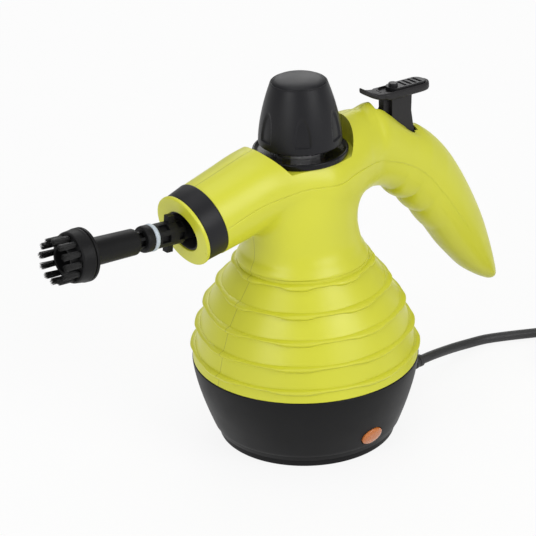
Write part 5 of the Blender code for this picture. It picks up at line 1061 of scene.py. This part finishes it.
# Springs, coiled over their nodes' heights
def make_spring(node, body, coil, wire, centre_x):
    """Three turns over the node's height."""
    bottom, top = (corner.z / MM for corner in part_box(node))
    low, high = bottom + wire, top - wire
    turns, steps = 3, 32
    rings = []
    for i in range(turns * steps + 1):
        z = low + (high - low) * i / (turns * steps)
        rings.append([polar(coil + wire * spot.x, 360.0 * i / steps, z + wire * spot.y)
                      + Vector((centre_x, 0.0, 0.0)) for spot in circle(1.0, 0.0, 12)])
    made = piece(loft(node + "_coil", rings), STEEL, body, "steel", node)
    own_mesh(made)


def make_springs():
    make_spring("cap_spring", "cap_core", 6.2, 0.55, 0.0)
    middle = sum(corner.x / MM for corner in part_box("valve_spring")) / 2
    make_spring("valve_spring", "body", 3.3, 0.37, middle)


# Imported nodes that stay, with their finishes
def finish_nodes():
    chosen = {
        "aluminium": CAST_ALUMINIUM, "steel": STEEL, "brass": BRASS, "red_seal": RED_SEAL,
        "white_ceramic": CERAMIC, "lamp_glass": lamp_glass(), "lime": LIME,
        "base_black": BASE_BLACK, "cap_black": CAP_BLACK, "gloss_black": GLOSS_BLACK,
        "cord_black": CORD_BLACK, "pale_silicone": PALE_SEAL}
    slots = {row["node"]: row.get("material_slot") for row in frame["record"]["subparts"]}
    for name, node in frame["nodes"].items():
        finish = chosen.get(slots.get(name))
        if finish and not node.hide_render:
            node.data.materials.clear()
            node.data.materials.append(finish)


# Floor, world and lamps
FLOOR_GLOW = 0.88


def make_floor():
    """A pale floor that looks white to the camera and in reflections, and still takes shadows."""
    reach, level = 6.0, -0.0001
    corners = [(x * reach, y * reach, level) for x, y in ((-1, -1), (1, -1), (1, 1), (-1, 1))]
    floor = mesh_object("floor", corners, [(0, 1, 2, 3)])
    made, tree, place = new_finish("floor_pale")
    dress(tree, {"Base Color": tint(tree, noise(tree, place, 3.0), (0.86, 0.86, 0.86),
                                    (0.88, 0.88, 0.88)),
                 "Roughness": 0.7, "Specular IOR Level": 0.2})
    ray = add_node(tree, "LightPath", {})
    bent_ray = math_node(tree, "MAXIMUM", ray["Is Glossy Ray"], ray["Is Transmission Ray"])
    seen = math_node(tree, "MAXIMUM", ray["Is Camera Ray"], bent_ray)
    surface = mixed(tree, math_node(tree, "MULTIPLY", seen, FLOOR_GLOW),
                    tree.nodes["Principled BSDF"].outputs["BSDF"],
                    add_node(tree, "Emission", {"Strength": 1.0})["Emission"])
    fill(tree, tree.nodes["Material Output"], {"Surface": surface})
    floor.data.materials.append(made)


def make_world():
    """Soft light all round, and plain white where the camera looks past the floor."""
    world = bpy.data.worlds.new("studio")
    world.use_nodes = True
    tree = world.node_tree
    light = tree.nodes["Background"]
    fill(tree, light, {"Color": (1.0, 1.0, 1.0, 1.0), "Strength": 0.41})
    surface = mixed(tree, add_node(tree, "LightPath", {})["Is Camera Ray"],
                    light.outputs["Background"],
                    add_node(tree, "Background", {"Strength": 1.0})["Background"])
    fill(tree, tree.nodes["World Output"], {"Surface": surface})
    bpy.context.scene.world = world


LAMP_TARGET = Vector((0.0, 0.0, 0.12))
LAMPS = (
    # name, place in metres, width, height, watts
    ("right_box", (0.25, -1.35, 0.85), 0.9, 0.9, 10.3),
    ("left_box", (-1.45, -0.35, 0.75), 0.8, 0.9, 8.2),
    ("top_box", (0.0, 0.1, 1.6), 1.1, 1.1, 5.0),
    ("rear_box", (0.9, 1.1, 0.9), 0.8, 0.8, 4.6))


def make_studio():
    scene = bpy.context.scene
    scene.view_settings.view_transform = "Standard"
    make_floor()
    make_world()
    for name, spot, width, height, power in LAMPS:
        data = bpy.data.lights.new(name, "AREA")
        data.shape = "RECTANGLE"
        data.size = width
        data.size_y = height
        data.energy = power
        lamp = add_object(name, data)
        facing = (LAMP_TARGET - Vector(spot)).to_track_quat("-Z", "Y")
        lamp.matrix_world = Matrix.Translation(spot) @ facing.to_matrix().to_4x4()


make_camera()
make_cord()
make_base()
make_strain_relief()
make_inner_lead()
make_housing()
make_collar()
make_cap()
make_spout_end()
make_spigot()
make_brush()
make_lever()
make_springs()
finish_nodes()
make_studio()
